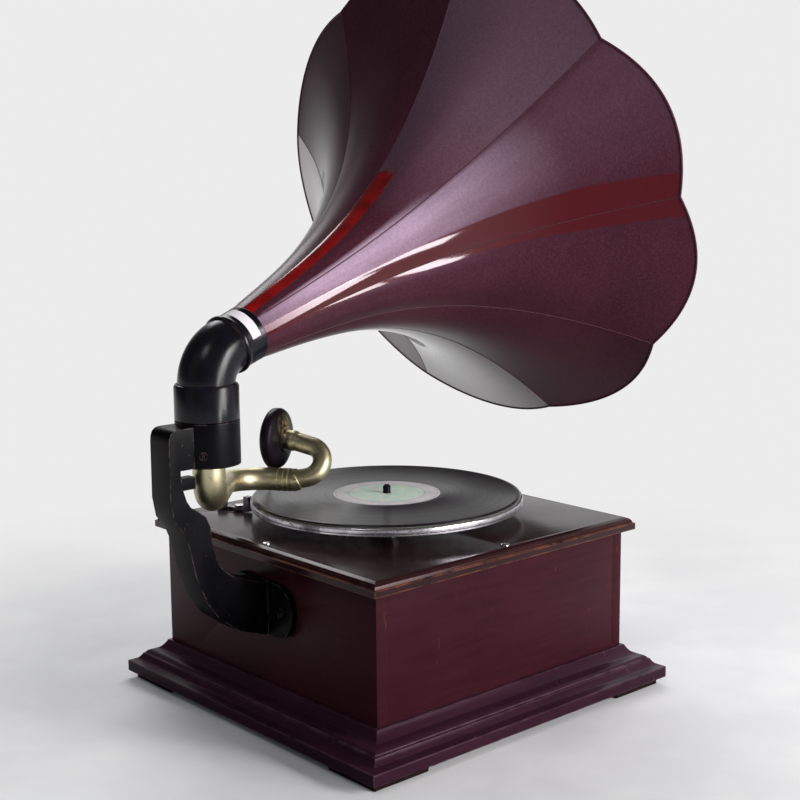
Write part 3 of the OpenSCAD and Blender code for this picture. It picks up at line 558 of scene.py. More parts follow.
@dataclass(frozen=True)
class Shellac:
    """Pressed record with fine rings and faint bands between the tracks."""

    name: str = "record_shellac"
    base: Colour = (0.010, 0.006, 0.010)
    band: Colour = (0.016, 0.014, 0.018)
    dust: Colour = (0.07, 0.055, 0.065)
    centre: float = 0.008
    track_start: float = 0.0555
    track_end: float = 0.1205
    track_edge: float = 0.001
    groove_depth: float = 0.00006
    band_depth: float = 0.00005

    def make(self) -> bpy.types.Material:
        """Build the material.

        Returns:
            The material.
        """
        s = Shader(self.name)
        flat, radius = s.disc(self.centre)
        rings = s.add("TexWave", Vector=flat, Scale=150.0, Distortion=0.0)
        rings.wave_type = "RINGS"
        rings.rings_direction = "Z"
        grooved = s.times(s.level(radius, self.track_start, self.track_start + self.track_edge),
                          s.level(radius, self.track_end, self.track_end - self.track_edge))
        ring = s.add("CombineXYZ", X=radius)
        bands = s.noise(ring.outputs[0], scale=320.0, detail=3.0, rough=0.6)
        dust = s.noise(s.coords(), scale=260.0, detail=5.0, rough=0.7)
        colour = s.mix(s.level(bands, 0.35, 0.65), self.base, self.band)
        colour = s.mix(s.times(s.level(dust, 0.5, 0.8), 0.25), colour, self.dust)
        rough = s.spread(bands, 0.26, 0.38)
        relief = s.bump(s.times(rings.outputs[0], grooved), self.groove_depth, 0.6)
        relief = s.bump(bands, self.band_depth, 0.35, relief)
        turn = s.add("Tangent")
        turn.direction_type = "UV_MAP"
        turn.uv_map = "UVMap"
        return s.done(Base_Color=colour, Roughness=rough, Normal=relief, Anisotropic=0.75, Anisotropic_Rotation=0.25,
                      Tangent=turn.outputs[0], Specular_IOR_Level=0.4)


@dataclass(frozen=True)
class LabelPaper:
    """Plain mottled paper label with a pale border, thin rings and no words."""

    name: str = "plain_label"
    border: Colour = (0.76, 0.74, 0.75)
    middle: Colour = (0.60, 0.84, 0.72)
    pale: Colour = (0.84, 0.88, 0.72)
    line: Colour = (0.42, 0.38, 0.42)
    stain: Colour = (0.22, 0.17, 0.20)
    centre: float = 0.008
    border_from: float = 0.0345
    lines: tuple[float, ...] = (0.0355, 0.0475)
    line_width: float = 0.0005
    fibre_depth: float = 0.00004

    def make(self) -> bpy.types.Material:
        """Build the material.

        Returns:
            The material.
        """
        s = Shader(self.name)
        _, radius = s.disc(self.centre)
        fibre = s.noise(s.coords(), scale=700.0, detail=4.0, rough=0.7)
        age = s.noise(s.coords(), scale=55.0)
        mottle = s.noise(s.coords(), scale=110.0, detail=3.0, rough=0.6)
        inner = s.mix(s.level(mottle, 0.45, 0.6), self.middle, self.pale)
        colour = s.mix(s.level(radius, self.border_from, self.border_from + 0.001), inner, self.border)
        for place in self.lines:
            near = s.times(s.level(radius, place - self.line_width, place),
                           s.level(radius, place + 2 * self.line_width, place + self.line_width))
            colour = s.mix(s.times(near, 0.6), colour, self.line)
        colour = s.mix(s.times(s.level(age, 0.5, 0.75), 0.35), colour, self.stain)
        relief = s.bump(fibre, self.fibre_depth, 0.5)
        return s.done(Base_Color=colour, Roughness=s.spread(fibre, 0.5, 0.7), Normal=relief)


@dataclass(frozen=True)
class Cloth:
    """Short felt or woven tape with a soft nap."""

    name: str
    base: Colour
    nap: Colour
    nap_depth: float = 0.0003

    def make(self) -> bpy.types.Material:
        """Build the material.

        Returns:
            The material.
        """
        s = Shader(self.name)
        hair = s.noise(s.coords(), scale=1300.0, detail=4.0, rough=0.8)
        worn = s.noise(s.coords(), scale=45.0)
        colour = s.mix(s.times(hair, worn), self.base, self.nap)
        return s.done(Base_Color=colour, Roughness=s.spread(hair, 0.85, 1.0),
                      Normal=s.bump(hair, self.nap_depth, 0.8), Sheen_Weight=0.5)


@dataclass(frozen=True)
class Mica:
    """Clear cloudy leaf of the diaphragm."""

    name: str = "mica_leaf"
    dark: Colour = (0.55, 0.47, 0.33)
    clear: Colour = (0.78, 0.74, 0.62)
    leaf_depth: float = 0.00005

    def make(self) -> bpy.types.Material:
        """Build the material.

        Returns:
            The material.
        """
        s = Shader(self.name)
        layers = s.noise(s.coords(scale=(1, 1, 0.4)), scale=120.0, detail=5.0, rough=0.7)
        colour = s.ramp(layers, [(0.3, self.dark), (0.7, self.clear)])
        return s.done(Base_Color=colour, Roughness=s.spread(layers, 0.08, 0.22),
                      Transmission_Weight=0.35, Normal=s.bump(layers, self.leaf_depth, 0.6))


Finish = Wood | Enamel | HornPaint | Metal | WornBlack | Shellac | LabelPaper | Cloth | Mica


@dataclass
class Finishes:
    """Every finish of the machine, each made once."""

    made: dict[str, bpy.types.Material] = field(default_factory=dict)

    def get(self, finish: Finish) -> bpy.types.Material:
        """Give the material of a finish.

        Args:
            finish: the finish.

        Returns:
            Its material, made at the first call.
        """
        if finish.name not in self.made:
            self.made[finish.name] = finish.make()
        return self.made[finish.name]


PANEL = Wood("panel_wood")
BOARD = Wood("board_wood", dark=(0.012, 0.005, 0.006), light=(0.030, 0.010, 0.011), grain=(40.0, 3.0, 3.0),
             gloss=0.16, wear=1.0, shine=0.4)
MOULDING = Wood("moulding_wood", dark=(0.022, 0.007, 0.013), light=(0.040, 0.013, 0.024), worn=(0.16, 0.09, 0.12),
                gloss=0.26, wear=0.7, shine=0.25)
RAW = Wood("raw_wood", dark=(0.14, 0.08, 0.04), light=(0.30, 0.19, 0.11), gloss=0.6, wear=0.1)
FEET = Wood("feet_wood", dark=(0.010, 0.006, 0.006), light=(0.025, 0.013, 0.012), gloss=0.5, wear=0.3)
GRIP = Wood("grip_wood", dark=(0.018, 0.007, 0.004), light=(0.06, 0.022, 0.012), grain=(4.0, 40.0, 40.0),
            gloss=0.2, wear=0.3)
# the bracket's pale reddish edge colour at full share is partly worn paint and partly a painted edge highlight
IRON = Enamel("bracket_iron", base=(0.0015, 0.0013, 0.0022), second=(0.004, 0.0035, 0.005),
              edge_and_nick_colour=(0.11, 0.075, 0.075), edge_and_nick_share=1.0, grit=0.00016, shine=0.07)
TUBE = Enamel("elbow_enamel", base=(0.004, 0.004, 0.007), second=(0.009, 0.008, 0.013),
              edge_and_nick_colour=(0.075, 0.028, 0.030), gloss=0.2, edge_and_nick_share=0.8, shine=0.22)
BLACK = Enamel("small_black", edge_and_nick_share=0.5)
BRASS = Metal("aged_brass", (0.66, 0.60, 0.39), (0.44, 0.395, 0.255), (0.045, 0.036, 0.024), gloss=0.33)
CLEAN_BRASS = Metal("motor_brass", (0.62, 0.48, 0.22), (0.45, 0.34, 0.15), (0.16, 0.10, 0.05), gloss=0.25, stains=0.3)
STEEL = Metal("motor_steel", (0.42, 0.42, 0.43), (0.28, 0.28, 0.29), (0.10, 0.07, 0.05), gloss=0.3, stains=0.4)
BRAKE = Metal("brake_steel", (0.26, 0.25, 0.28), (0.14, 0.135, 0.15), (0.05, 0.04, 0.045), gloss=0.36)
NICKEL = Metal("bright_nickel", (0.80, 0.79, 0.76), (0.60, 0.59, 0.57), (0.28, 0.24, 0.20), gloss=0.14, stains=0.35)
RIM = Metal("mottled_nickel", (0.75, 0.73, 0.76), (0.22, 0.20, 0.24), (0.05, 0.04, 0.06), gloss=0.2, stains=0.9)
FELT = Cloth("turntable_felt", (0.06, 0.07, 0.05), (0.16, 0.17, 0.12))
TAPE = Cloth("plain_tape", (0.80, 0.76, 0.80), (0.90, 0.87, 0.90))


def stand(name: str, data: bpy.types.Mesh) -> bpy.types.Object:
    """Put a mesh in the scene as an object at the origin.

    Args:
        name: the object's name.
        data: the mesh.

    Returns:
        The object.
    """
    made = bpy.data.objects.new(name, data)
    bpy.context.scene.collection.objects.link(made)
    return made


def turn_out(data: bpy.types.Mesh, merge: float = MERGE) -> None:
    """Merge doubled corners and turn the faces of closed shells outwards.

    Args:
        data: the mesh.
        merge: reach in metres within which corners are one, or 0 to leave them.
    """
    work = bmesh.new()
    work.from_mesh(data)
    if merge > 0:
        bmesh.ops.remove_doubles(work, verts=work.verts, dist=merge)
    bmesh.ops.recalc_face_normals(work, faces=work.faces)
    work.to_mesh(data)
    work.free()


def mesh_piece(name: str, points: Sequence[Vector], faces: Sequence[Sequence[int]],
               smooth_below: float = ROUND_SMOOTH) -> bpy.types.Object:
    """Make an object from points and faces, smooth where its faces meet gently.

    Args:
        name: the piece's name.
        points: corners in metres.
        faces: corner numbers of each face.
        smooth_below: largest angle in degrees that stays smooth.

    Returns:
        The object, linked to the scene.
    """
    data = bpy.data.meshes.new(name)
    data.from_pydata([tuple(p) for p in points], [], [tuple(f) for f in faces])
    data.validate()
    made = stand(name, data)
    turn_out(data)
    smooth(data, smooth_below)
    return made


def smooth(data: bpy.types.Mesh, below: float) -> None:
    """Shade smooth, with edges sharper than an angle kept sharp.

    Args:
        data: the mesh.
        below: the angle in degrees.
    """
    for face in data.polygons:
        face.use_smooth = True
    data.set_sharp_from_angle(angle=math.radians(below))


def dress(piece: bpy.types.Object, material: bpy.types.Material, ride: Body, role: Slot,
          *nodes: str) -> bpy.types.Object:
    """Give a piece its finish and body, and hide the solids it stands for.

    Args:
        piece: the object.
        material: its finish.
        ride: the body it moves with.
        role: the record's material slot; not used.
        nodes: the solids that it replaces.

    Returns:
        The piece.
    """
    body, slot = ride.value, role.value
    piece.data.materials.clear()
    piece.data.materials.append(material)
    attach(piece, body)
    if nodes:
        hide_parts(*nodes)
    log.info("piece %s on %s: %d faces", piece.name, body, len(piece.data.polygons))
    return piece


def lathe(name: str, profile: Profile, place: Matrix, steps: int = 128) -> bpy.types.Object:
    """Turn a profile into a closed round piece.

    Args:
        name: the piece's name.
        profile: (radius, height) pairs in metres; a radius of 0 closes the piece on its axis.
        place: where the axis stands.
        steps: faces round the axis.

    Returns:
        The object.
    """
    points: list[Vector] = []
    rows: list[list[int]] = []
    for radius, height in profile:
        row = []
        for i in range(steps if radius > 0 else 1):
            angle = math.tau * i / steps
            row.append(len(points))
            points.append(place @ Vector((radius * math.cos(angle), radius * math.sin(angle), height)))
        rows.append(row)
    faces: list[list[int]] = []
    closed = profile[0][0] > 0 and profile[-1][0] > 0
    pairs = list(zip(rows, rows[1:])) + ([(rows[-1], rows[0])] if closed else [])
    for low, high in pairs:
        for i in range(steps):
            j = (i + 1) % steps
            if len(low) == 1 and len(high) > 1:
                faces.append([low[0], high[j], high[i]])
            elif len(high) == 1 and len(low) > 1:
                faces.append([low[i], low[j], high[0]])
            elif len(low) > 1:
                faces.append([low[i], low[j], high[j], high[i]])
    return mesh_piece(name, points, faces)


def ring_uv(piece: bpy.types.Object, centre: Vector) -> None:
    """Give a flat round piece a UV map that runs round its centre.

    Args:
        piece: the object.
        centre: the middle of the disc.
    """
    layer = piece.data.uv_layers.new(name="UVMap")
    for face in piece.data.polygons:
        angles = []
        for corner in face.loop_indices:
            at = piece.data.vertices[piece.data.loops[corner].vertex_index].co - centre
            angles.append((corner, math.atan2(at.y, at.x) / math.tau, at.length * 4))
        wraps = max(a[1] for a in angles) - min(a[1] for a in angles) > 0.5
        for corner, turn, out in angles:
            layer.data[corner].uv = (turn + 1 if wraps and turn < 0 else turn, out)


def sweep(name: str, path: Sequence[Vector], radii: Sequence[float], sides: int = 64) -> bpy.types.Object:
    """Draw a round tube of changing radius along a path, closed at both ends.

    Args:
        name: the piece's name.
        path: points in metres.
        radii: radius at each point in metres.
        sides: faces round the tube.

    Returns:
        The object.
    """
    points: list[Vector] = []
    faces: list[list[int]] = []
    across: Vector | None = None
    for i, at in enumerate(path):
        ahead = (path[min(i + 1, len(path) - 1)] - path[max(i - 1, 0)]).normalized()
        if across is None:
            across = ahead.orthogonal().normalized()
        across = (across - ahead * across.dot(ahead)).normalized()
        other = ahead.cross(across)
        for j in range(sides):
            angle = math.tau * j / sides
            points.append(at + radii[i] * (math.cos(angle) * across + math.sin(angle) * other))
    for i in range(len(path) - 1):
        for j in range(sides):
            k = (j + 1) % sides
            faces.append([i * sides + j, i * sides + k, (i + 1) * sides + k, (i + 1) * sides + j])
    last = (len(path) - 1) * sides
    faces.append(list(reversed(range(sides))))
    faces.append([last + j for j in range(sides)])
    return mesh_piece(name, points, faces, TUBE_SMOOTH)


@dataclass(frozen=True)
class Solid:
    """A solid of the frame that keeps its shape and gets rounded edges and a finish."""

    node: str
    finish: Finish
    ride: Body
    role: Slot
    width: float = 0.0006
    segments: int = 2
    angle: float = 34.0

    def shape(self) -> bpy.types.Object:
        """Copy the solid, merge its triangles and round the edges sharper than the angle.

        Returns:
            The new object.
        """
        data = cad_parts[self.node].data.copy()
        data.name = self.node + "_finished"
        made = stand(data.name, data)
        work = bmesh.new()
        work.from_mesh(data)
        bmesh.ops.remove_doubles(work, verts=work.verts, dist=WELD)
        bmesh.ops.dissolve_limit(work, angle_limit=math.radians(FLAT), verts=work.verts, edges=work.edges)
        limit = math.radians(self.angle)
        sharp = [e for e in work.edges if e.is_manifold and e.calc_face_angle(0.0) > limit]
        if sharp:
            bmesh.ops.bevel(work, geom=sharp, offset=self.width, offset_type="OFFSET", segments=self.segments,
                            profile=0.6, affect="EDGES", clamp_overlap=True)
        bmesh.ops.recalc_face_normals(work, faces=work.faces)
        work.to_mesh(data)
        work.free()
        smooth(data, TUBE_SMOOTH)
        return made

    def build(self, finishes: Finishes) -> None:
        """Shape and dress the solid's copy, which stands for it."""
        dress(self.shape(), finishes.get(self.finish), self.ride, self.role, self.node)


class Growth:
    """Geometry node trees for what repeats or follows a line."""

    def __init__(self) -> None:
        """Make both trees and fix the seed of the copies' turns."""
        self.cord = self.line_tree()
        self.scatter = self.copy_tree()
        self.seed = 7

    @staticmethod
    def socket(tree: bpy.types.GeometryNodeTree, name: str, kind: str, out: bool = False) -> str:
        """Add a socket to a tree's interface.

        Args:
            tree: the tree.
            name: the socket's name.
            kind: its type.
            out: whether it leads out.

        Returns:
            The socket's identifier.
        """
        made = tree.interface.new_socket(name, in_out="OUTPUT" if out else "INPUT", socket_type="NodeSocket" + kind)
        return made.identifier

    def line_tree(self) -> tuple[bpy.types.GeometryNodeTree, dict[str, str]]:
        """Make the tree that turns lines into thin round wires.

        Returns:
            The tree and its socket identifiers.
        """
        tree = bpy.data.node_groups.new("wire_on_line", "GeometryNodeTree")
        ids = {"line": self.socket(tree, "Line", "Geometry"), "radius": self.socket(tree, "Radius", "Float"),
               "sides": self.socket(tree, "Sides", "Int"), "finish": self.socket(tree, "Finish", "Material")}
        self.socket(tree, "Wire", "Geometry", True)
        add, link = tree.nodes.new, tree.links.new
        start, end = add("NodeGroupInput"), add("NodeGroupOutput")
        curve, ring = add("GeometryNodeMeshToCurve"), add("GeometryNodeCurvePrimitiveCircle")
        body = add("GeometryNodeCurveToMesh")
        solid, paint = add("GeometryNodeRealizeInstances"), add("GeometryNodeSetMaterial")
        body.inputs["Fill Caps"].default_value = True
        link(start.outputs["Line"], curve.inputs["Mesh"])
        link(start.outputs["Radius"], ring.inputs["Radius"])
        link(start.outputs["Sides"], ring.inputs["Resolution"])
        link(curve.outputs["Curve"], body.inputs["Curve"])
        link(ring.outputs["Curve"], body.inputs["Profile Curve"])
        link(body.outputs["Mesh"], solid.inputs["Geometry"])
        link(solid.outputs["Geometry"], paint.inputs["Geometry"])
        link(start.outputs["Finish"], paint.inputs["Material"])
        link(paint.outputs["Geometry"], end.inputs["Wire"])
        return tree, ids

    def copy_tree(self) -> tuple[bpy.types.GeometryNodeTree, dict[str, str]]:
        """Make the tree that puts a copy of a piece on each point.

        Returns:
            The tree and its socket identifiers.
        """
        tree = bpy.data.node_groups.new("piece_on_points", "GeometryNodeTree")
        ids = {"points": self.socket(tree, "Points", "Geometry"), "piece": self.socket(tree, "Piece", "Object"),
               "turn": self.socket(tree, "Turn", "Vector"), "finish": self.socket(tree, "Finish", "Material"),
               "seed": self.socket(tree, "Seed", "Int"), "spread": self.socket(tree, "Spread", "Float")}
        self.socket(tree, "Copies", "Geometry", True)
        add, link = tree.nodes.new, tree.links.new
        start, end = add("NodeGroupInput"), add("NodeGroupOutput")
        info, put = add("GeometryNodeObjectInfo"), add("GeometryNodeInstanceOnPoints")
        chance, roll = add("FunctionNodeRandomValue"), add("ShaderNodeCombineXYZ")
        spin = add("GeometryNodeRotateInstances")
        solid, paint = add("GeometryNodeRealizeInstances"), add("GeometryNodeSetMaterial")
        link(start.outputs["Points"], put.inputs["Points"])
        link(start.outputs["Piece"], info.inputs["Object"])
        link(info.outputs["Geometry"], put.inputs["Instance"])
        link(start.outputs["Turn"], put.inputs["Rotation"])
        link(start.outputs["Seed"], chance.inputs["Seed"])
        link(start.outputs["Spread"], chance.inputs[3])
        link(chance.outputs[1], roll.inputs["Z"])
        link(put.outputs["Instances"], spin.inputs["Instances"])
        link(roll.outputs["Vector"], spin.inputs["Rotation"])
        link(spin.outputs["Instances"], solid.inputs["Geometry"])
        link(solid.outputs["Geometry"], paint.inputs["Geometry"])
        link(start.outputs["Finish"], paint.inputs["Material"])
        link(paint.outputs["Geometry"], end.inputs["Copies"])
        return tree, ids

    @staticmethod
    def grow(name: str, holder: bpy.types.Object, tree: tuple[bpy.types.GeometryNodeTree, dict[str, str]],
             **values: object) -> bpy.types.Object:
        """Run a tree on an object and keep the result as a plain mesh.

        Args:
            name: the new piece's name.
            holder: the object that carries the lines or points.
            tree: the tree and its identifiers.
            values: the tree's inputs by short name.

        Returns:
            The new object.
        """
        group, ids = tree
        step = holder.modifiers.new("grow", "NODES")
        step.node_group = group
        for key, value in values.items():
            step[ids[key]] = value
        graph = bpy.context.evaluated_depsgraph_get()
        data = bpy.data.meshes.new_from_object(holder.evaluated_get(graph))
        data.name = name
        holder.modifiers.remove(step)
        made = stand(name, data)
        bpy.data.objects.remove(holder)
        smooth(data, ROUND_SMOOTH)
        return made

    def wires(self, name: str, lines: Iterable[Sequence[Vector]], radius: float, material: bpy.types.Material,
              sides: int = 10) -> bpy.types.Object:
        """Make one piece of thin wires along lines.

        Args:
            name: the piece's name.
            lines: each line's points.
            radius: the wire's radius in metres.
            material: its finish.
            sides: faces round the wire.

        Returns:
            The piece.
        """
        points: list[tuple[float, ...]] = []
        edges: list[tuple[int, int]] = []
        for line in lines:
            first = len(points)
            points += [tuple(p) for p in line]
            edges += [(first + i, first + i + 1) for i in range(len(line) - 1)]
        data = bpy.data.meshes.new(name + "_line")
        data.from_pydata(points, edges, [])
        return self.grow(name, stand(name + "_line", data), self.cord, radius=radius, sides=sides, finish=material)

    def copies(self, name: str, piece: bpy.types.Object, points: Sequence[Vector], turn: Vector,
               material: bpy.types.Material, spread: float = 0.0) -> bpy.types.Object:
        """Put a copy of a small piece on each point and drop the original.

        Args:
            name: the new piece's name.
            piece: the small piece, made at the origin.
            points: where the copies go.
            turn: how each copy is turned, in radians.
            material: the finish.
            spread: largest extra turn about its own axis, in radians.

        Returns:
            The piece.
        """
        data = bpy.data.meshes.new(name + "_points")
        data.from_pydata([tuple(p) for p in points], [], [])
        made = self.grow(name, stand(name + "_points", data), self.scatter, piece=piece, turn=tuple(turn),
                         finish=material, seed=self.seed, spread=spread)
        bpy.data.objects.remove(piece)
        return made


def held(value: float) -> float:
    """Hold a value between 0 and 1."""
    return max(0.0, min(1.0, value))


def screw_head(radius: float, height: float, slot: float, below: float = 0.0) -> bpy.types.Object:
    """Make a domed screw head with a slot, standing on the origin.

    Args:
        radius: the head's radius in metres.
        height: the head's height.
        slot: the slot's width.
        below: how far the stem reaches below the head.

    Returns:
        The object.
    """
    profile = [(0.0, -below), (radius * 0.5, -below), (radius * 0.5, 0.0), (radius, 0.0), (radius, height * 0.45),
               (radius * 0.92, height * 0.72), (radius * 0.72, height * 0.9), (radius * 0.4, height), (0.0, height)]
    slot_floor, upper_half = height * 0.42, height * 0.5
    head = lathe("screw_blank", profile, Matrix.Identity(4), 48)
    work = bmesh.new()
    work.from_mesh(head.data)
    for side in (-1, 1):
        bmesh.ops.bisect_plane(work, geom=work.verts[:] + work.edges[:] + work.faces[:],
                               plane_co=(0, side * slot / 2, 0), plane_no=(0, 1, 0))
    for vert in [v for v in work.verts if abs(v.co.y) < slot / 2 - 1e-7 and v.co.z > upper_half]:
        vert.co.z = slot_floor
    work.to_mesh(head.data)
    work.free()
    return head


POST = 203.0  # mm from the case's middle back to the upright axis of the horn and the arm
HORN_AZIMUTH = 9.3  # degrees that the horn is turned aside
HORN_TILT = 18.3  # degrees that the horn looks up
NECK_OUT = 47.7  # mm from the upright axis to the horn's neck
NECK_HEIGHT = 344.1  # mm of the neck above the ground


@dataclass
class Horn:
    """The petalled horn: its sizes, petals, seams, rim and neck band."""

    azimuth: float = HORN_AZIMUTH
    tilt: float = HORN_TILT
    out: float = NECK_OUT
    post: float = POST
    neck_height: float = NECK_HEIGHT
    length: float = 344.5
    sag: float = 4.0
    mouth: float = 232.0
    neck: float = 24.0
    flare: float = 50.0
    power: float = 3.1
    bulge: float = 10.0
    bow: float = 12.0
    metal: float = 1.2
    seam: float = 41.3
    petals: int = 9
    rows: int = 60
    columns: int = 20
    strip_petal: int = 0
    patch_petal: int = 8
    coated: dict[int, float] = field(default_factory=lambda: {3: 1.0, 5: 0.7, 6: 0.5})
    edge_gain: float = 9.0
    patch_end: float = 0.57
    seam_radius: float = 0.00045
    seam_steps: int = 90
    rim_radius: float = 0.0013
    rim_steps: int = 24
    tape_from: float = 88.0
    tape_to: float = 172.0
    tape_steps: int = 40
    tape_skin: tuple[float, float] = (0.02442, 0.02462)
    tape_edges: tuple[float, float] = (-0.0160, -0.0062)

    def __post_init__(self) -> None:
        """Work out the horn's own directions."""
        az, el = math.radians(self.azimuth), math.radians(self.tilt)
        self.ahead = Vector((math.sin(az) * math.cos(el), -math.cos(az) * math.cos(el), math.sin(el)))
        self.start = Vector((self.out * math.sin(az), self.post - self.out * math.cos(az), self.neck_height))
        self.side = Vector((self.ahead.y, -self.ahead.x, 0)).normalized()
        self.up = self.side.cross(self.ahead)

    def radius(self, t: float) -> float:
        """Give the seam radius in mm at a share of the length."""
        return self.neck + self.flare * t + (self.mouth - self.neck - self.flare) * t**self.power

    def place(self, t: float, across: float, petal: int, inside: float = 0.0) -> Vector:
        """Give a point of a petal in metres.

        Args:
            t: share of the length, 0 at the neck.
            across: share of the petal's width.
            petal: number of the petal, from 0.
            inside: how far inside the outer skin, in mm.

        Returns:
            The point.
        """
        swell = math.sin(math.pi * across)
        angle = math.radians(self.seam - 360 / self.petals * (petal + across))
        radius = self.radius(t) + self.bulge * t**1.6 * swell - inside
        along = t * self.length + self.bow * t**4 * swell
        axis = self.start - Vector((0, 0, self.sag * (1 - (1 - t) ** 2)))
        return (axis + self.ahead * along + radius * (math.cos(angle) * self.side + math.sin(angle) * self.up)) * MM

    def lacquered(self, petal: int, t: float, across: float) -> float:
        """Give the share of glossy lacquer at a place of a petal.

        Args:
            petal: number of the petal.
            t: share of the length.
            across: share of the petal's width.

        Returns:
            A value above a half where lacquer shows.
        """
        ragged = 0.10 * noise.noise(Vector((t * 40, across * 60, petal * 3.1)))
        streak = 0.12 * noise.noise(Vector((t * 6, across * 90, petal * 1.7)))
        if petal == self.strip_petal:  # the wide strip starts past the middle and narrows towards the mouth
            edge = 0.56 + 0.14 * t + 0.17 * t**4
            return 0.5 + (across - edge + 0.2 * streak) * self.edge_gain
        if petal == self.strip_petal + 1:  # it runs on over the seam into the next petal
            edge = 0.11
            return 0.5 + (edge - across + 0.4 * streak) * self.edge_gain
        if petal == self.patch_petal:  # the patch narrows to a ragged end a little past half way
            edge = 0.62 - 0.52 * t
            return 0.5 + min((edge - across) * 6, (self.patch_end - t) * 10) + ragged * 2 + streak
        return 0.0

    def painted_sheen_share(self, petal: int, t: float, across: float) -> float:
        """Give the share of painted lilac sheen, a painted highlight, at a place of a petal.

        Args:
            petal: number of the petal.
            t: share of the length.
            across: share of the petal's width.

        Returns:
            A value from 0 to 1.
        """
        if petal == self.patch_petal:  # painted highlight along the seam, and a little towards the mouth
            border = held((across - 0.86) * 9.0) * held(min((0.62 - t) * 5.0, t * 6.0))
            return max(border * 0.8, 0.16 * held((t - 0.45) * 3.0))
        if petal != self.strip_petal:
            return 0.0
        # the strip petal carries the broad painted highlight, which fades towards the mouth
        soft = 0.12 * noise.noise(Vector((t * 9, across * 14, 2.0)))
        fade = 1.0 - 0.92 * held((t - 0.50) / 0.34) - 0.6 * max(0.0, 1.0 - t / 0.2)
        side = held((across + 0.02) * 14) * held((0.85 - across) * 1.6)
        return held(fade * side + soft * fade)

    def marks(self, petal: int, t: float, across: float, outer: bool) -> dict[str, float]:
        """Give what the paint's pattern is at a place of a petal.

        Args:
            petal: number of the petal.
            t: share of the length.
            across: share of the petal's width.
            outer: whether it is on the outer skin, which alone has lacquer, painted sheen and coat.

        Returns:
            The values by the name that the paint reads.
        """
        return {"lacquer": self.lacquered(petal, t, across) if outer else 0.0,
                # painted sheen: the share of the painted highlight on the petals
                "bloom": self.painted_sheen_share(petal, t, across) if outer else 0.0,
                "gloss": (0.8 - 0.65 * held((t - 0.62) / 0.2)) * min(1.0, 0.15 + t / 0.2),
                "coated": self.coated.get(petal, 0.0) if outer else 0.0,
                "fresh": 1.0 if petal == self.patch_petal else 0.0}

    def petal(self, number: int) -> bpy.types.Object:
        """Make one petal as a thin closed shell.

        Args:
            number: number of the petal, from 0.

        Returns:
            The object.
        """
        wide = self.columns + 1
        count = (self.rows + 1) * wide
        points: list[Vector] = []
        found: list[dict[str, float]] = []
        for layer in (0.0, self.metal):
            for i in range(self.rows + 1):
                for j in range(wide):
                    t, across = i / self.rows, j / self.columns
                    points.append(self.place(t, across, number, layer))
                    found.append(self.marks(number, t, across, layer == 0.0))
        faces: list[list[int]] = []
        for i in range(self.rows):
            for j in range(self.columns):
                a, b, c, d = i * wide + j, i * wide + j + 1, (i + 1) * wide + j + 1, (i + 1) * wide + j
                faces += [[a, b, c, d], [count + d, count + c, count + b, count + a]]
            for j, flip in ((0, False), (self.columns, True)):
                a, d = i * wide + j, (i + 1) * wide + j
                faces.append([d, a, count + a, count + d] if flip else [a, d, count + d, count + a])
        for i, flip in ((0, True), (self.rows, False)):
            for j in range(self.columns):
                a, b = i * wide + j, i * wide + j + 1
                faces.append([b, a, count + a, count + b] if flip else [a, b, count + b, count + a])
        data = bpy.data.meshes.new(f"petal_{number + 1}")
        data.from_pydata([tuple(p) for p in points], [], faces)
        for name in found[0]:
            data.attributes.new(name, "FLOAT", "POINT").data.foreach_set("value", [place[name] for place in found])
        made = stand(data.name, data)
        turn_out(data, 0.0)
        smooth(data, PETAL_SMOOTH)
        return made

    def tape(self, at: Matrix) -> bpy.types.Object:
        """Make the strip of plain tape round part of the neck band.

        Args:
            at: the neck's place.

        Returns:
            The object.
        """
        points: list[Vector] = []
        faces: list[list[int]] = []
        first, last = math.radians(self.tape_from), math.radians(self.tape_to)
        (inner, outer), (low, high) = self.tape_skin, self.tape_edges
        for i in range(self.tape_steps + 1):
            a = first + (last - first) * i / self.tape_steps
            for r, z in ((inner, low), (outer, low), (outer, high), (inner, high)):
                points.append(at @ Vector((r * math.cos(a), r * math.sin(a), z)))
        for i in range(self.tape_steps):
            for j in range(4):
                a, b = i * 4 + j, i * 4 + (j + 1) % 4
                faces.append([a, b, b + 4, a + 4])
        faces += [[3, 2, 1, 0], [self.tape_steps * 4 + j for j in range(4)]]
        return mesh_piece("neck_tape", points, faces)

    def build(self, finishes: Finishes, growth: Growth) -> None:
        """Make the petals, seams, rim wire and neck band.

        Args:
            finishes: the finishes.
            growth: the node trees.
        """
        paint = finishes.get(HornPaint())
        for number in range(self.petals):
            dress(self.petal(number), paint, Body.HORN, Slot.HORN, f"horn_petal_{number + 1}")
        steps, rim = self.seam_steps, self.rim_steps
        seams = [[self.place(i / steps, 0.0, k, 0.1) for i in range(3, steps + 1)] for k in range(self.petals)]
        dress(growth.wires("horn_seams", seams, self.seam_radius, paint), paint, Body.HORN, Slot.HORN)
        edge = [[self.place(1.0, j / rim, k, self.metal / 2) for j in range(rim + 1)] for k in range(self.petals)]
        dress(growth.wires("horn_rim_wire", edge, self.rim_radius, paint, 12), paint, Body.HORN, Slot.HORN)
        turn = self.ahead.to_track_quat("Z", "Y").to_matrix().to_4x4()
        at = Matrix.Translation(self.start * MM) @ turn
        profile = [(0.0201, -0.0274), (0.0216, -0.0274), (0.0216, -0.0204), (0.0241, -0.0204), (0.0244, -0.0201),
                   (0.0244, -0.0012), (0.0246, -0.0008), (0.0245, -0.0002), (0.0242, 0.0), (0.0201, 0.0)]
        band = lathe("neck_band", profile, at)
        dress(band, finishes.get(TUBE), Body.HORN, Slot.BLACK_TUBE, "horn_neck")
        dress(self.tape(at), finishes.get(TAPE), Body.HORN, Slot.LABEL)


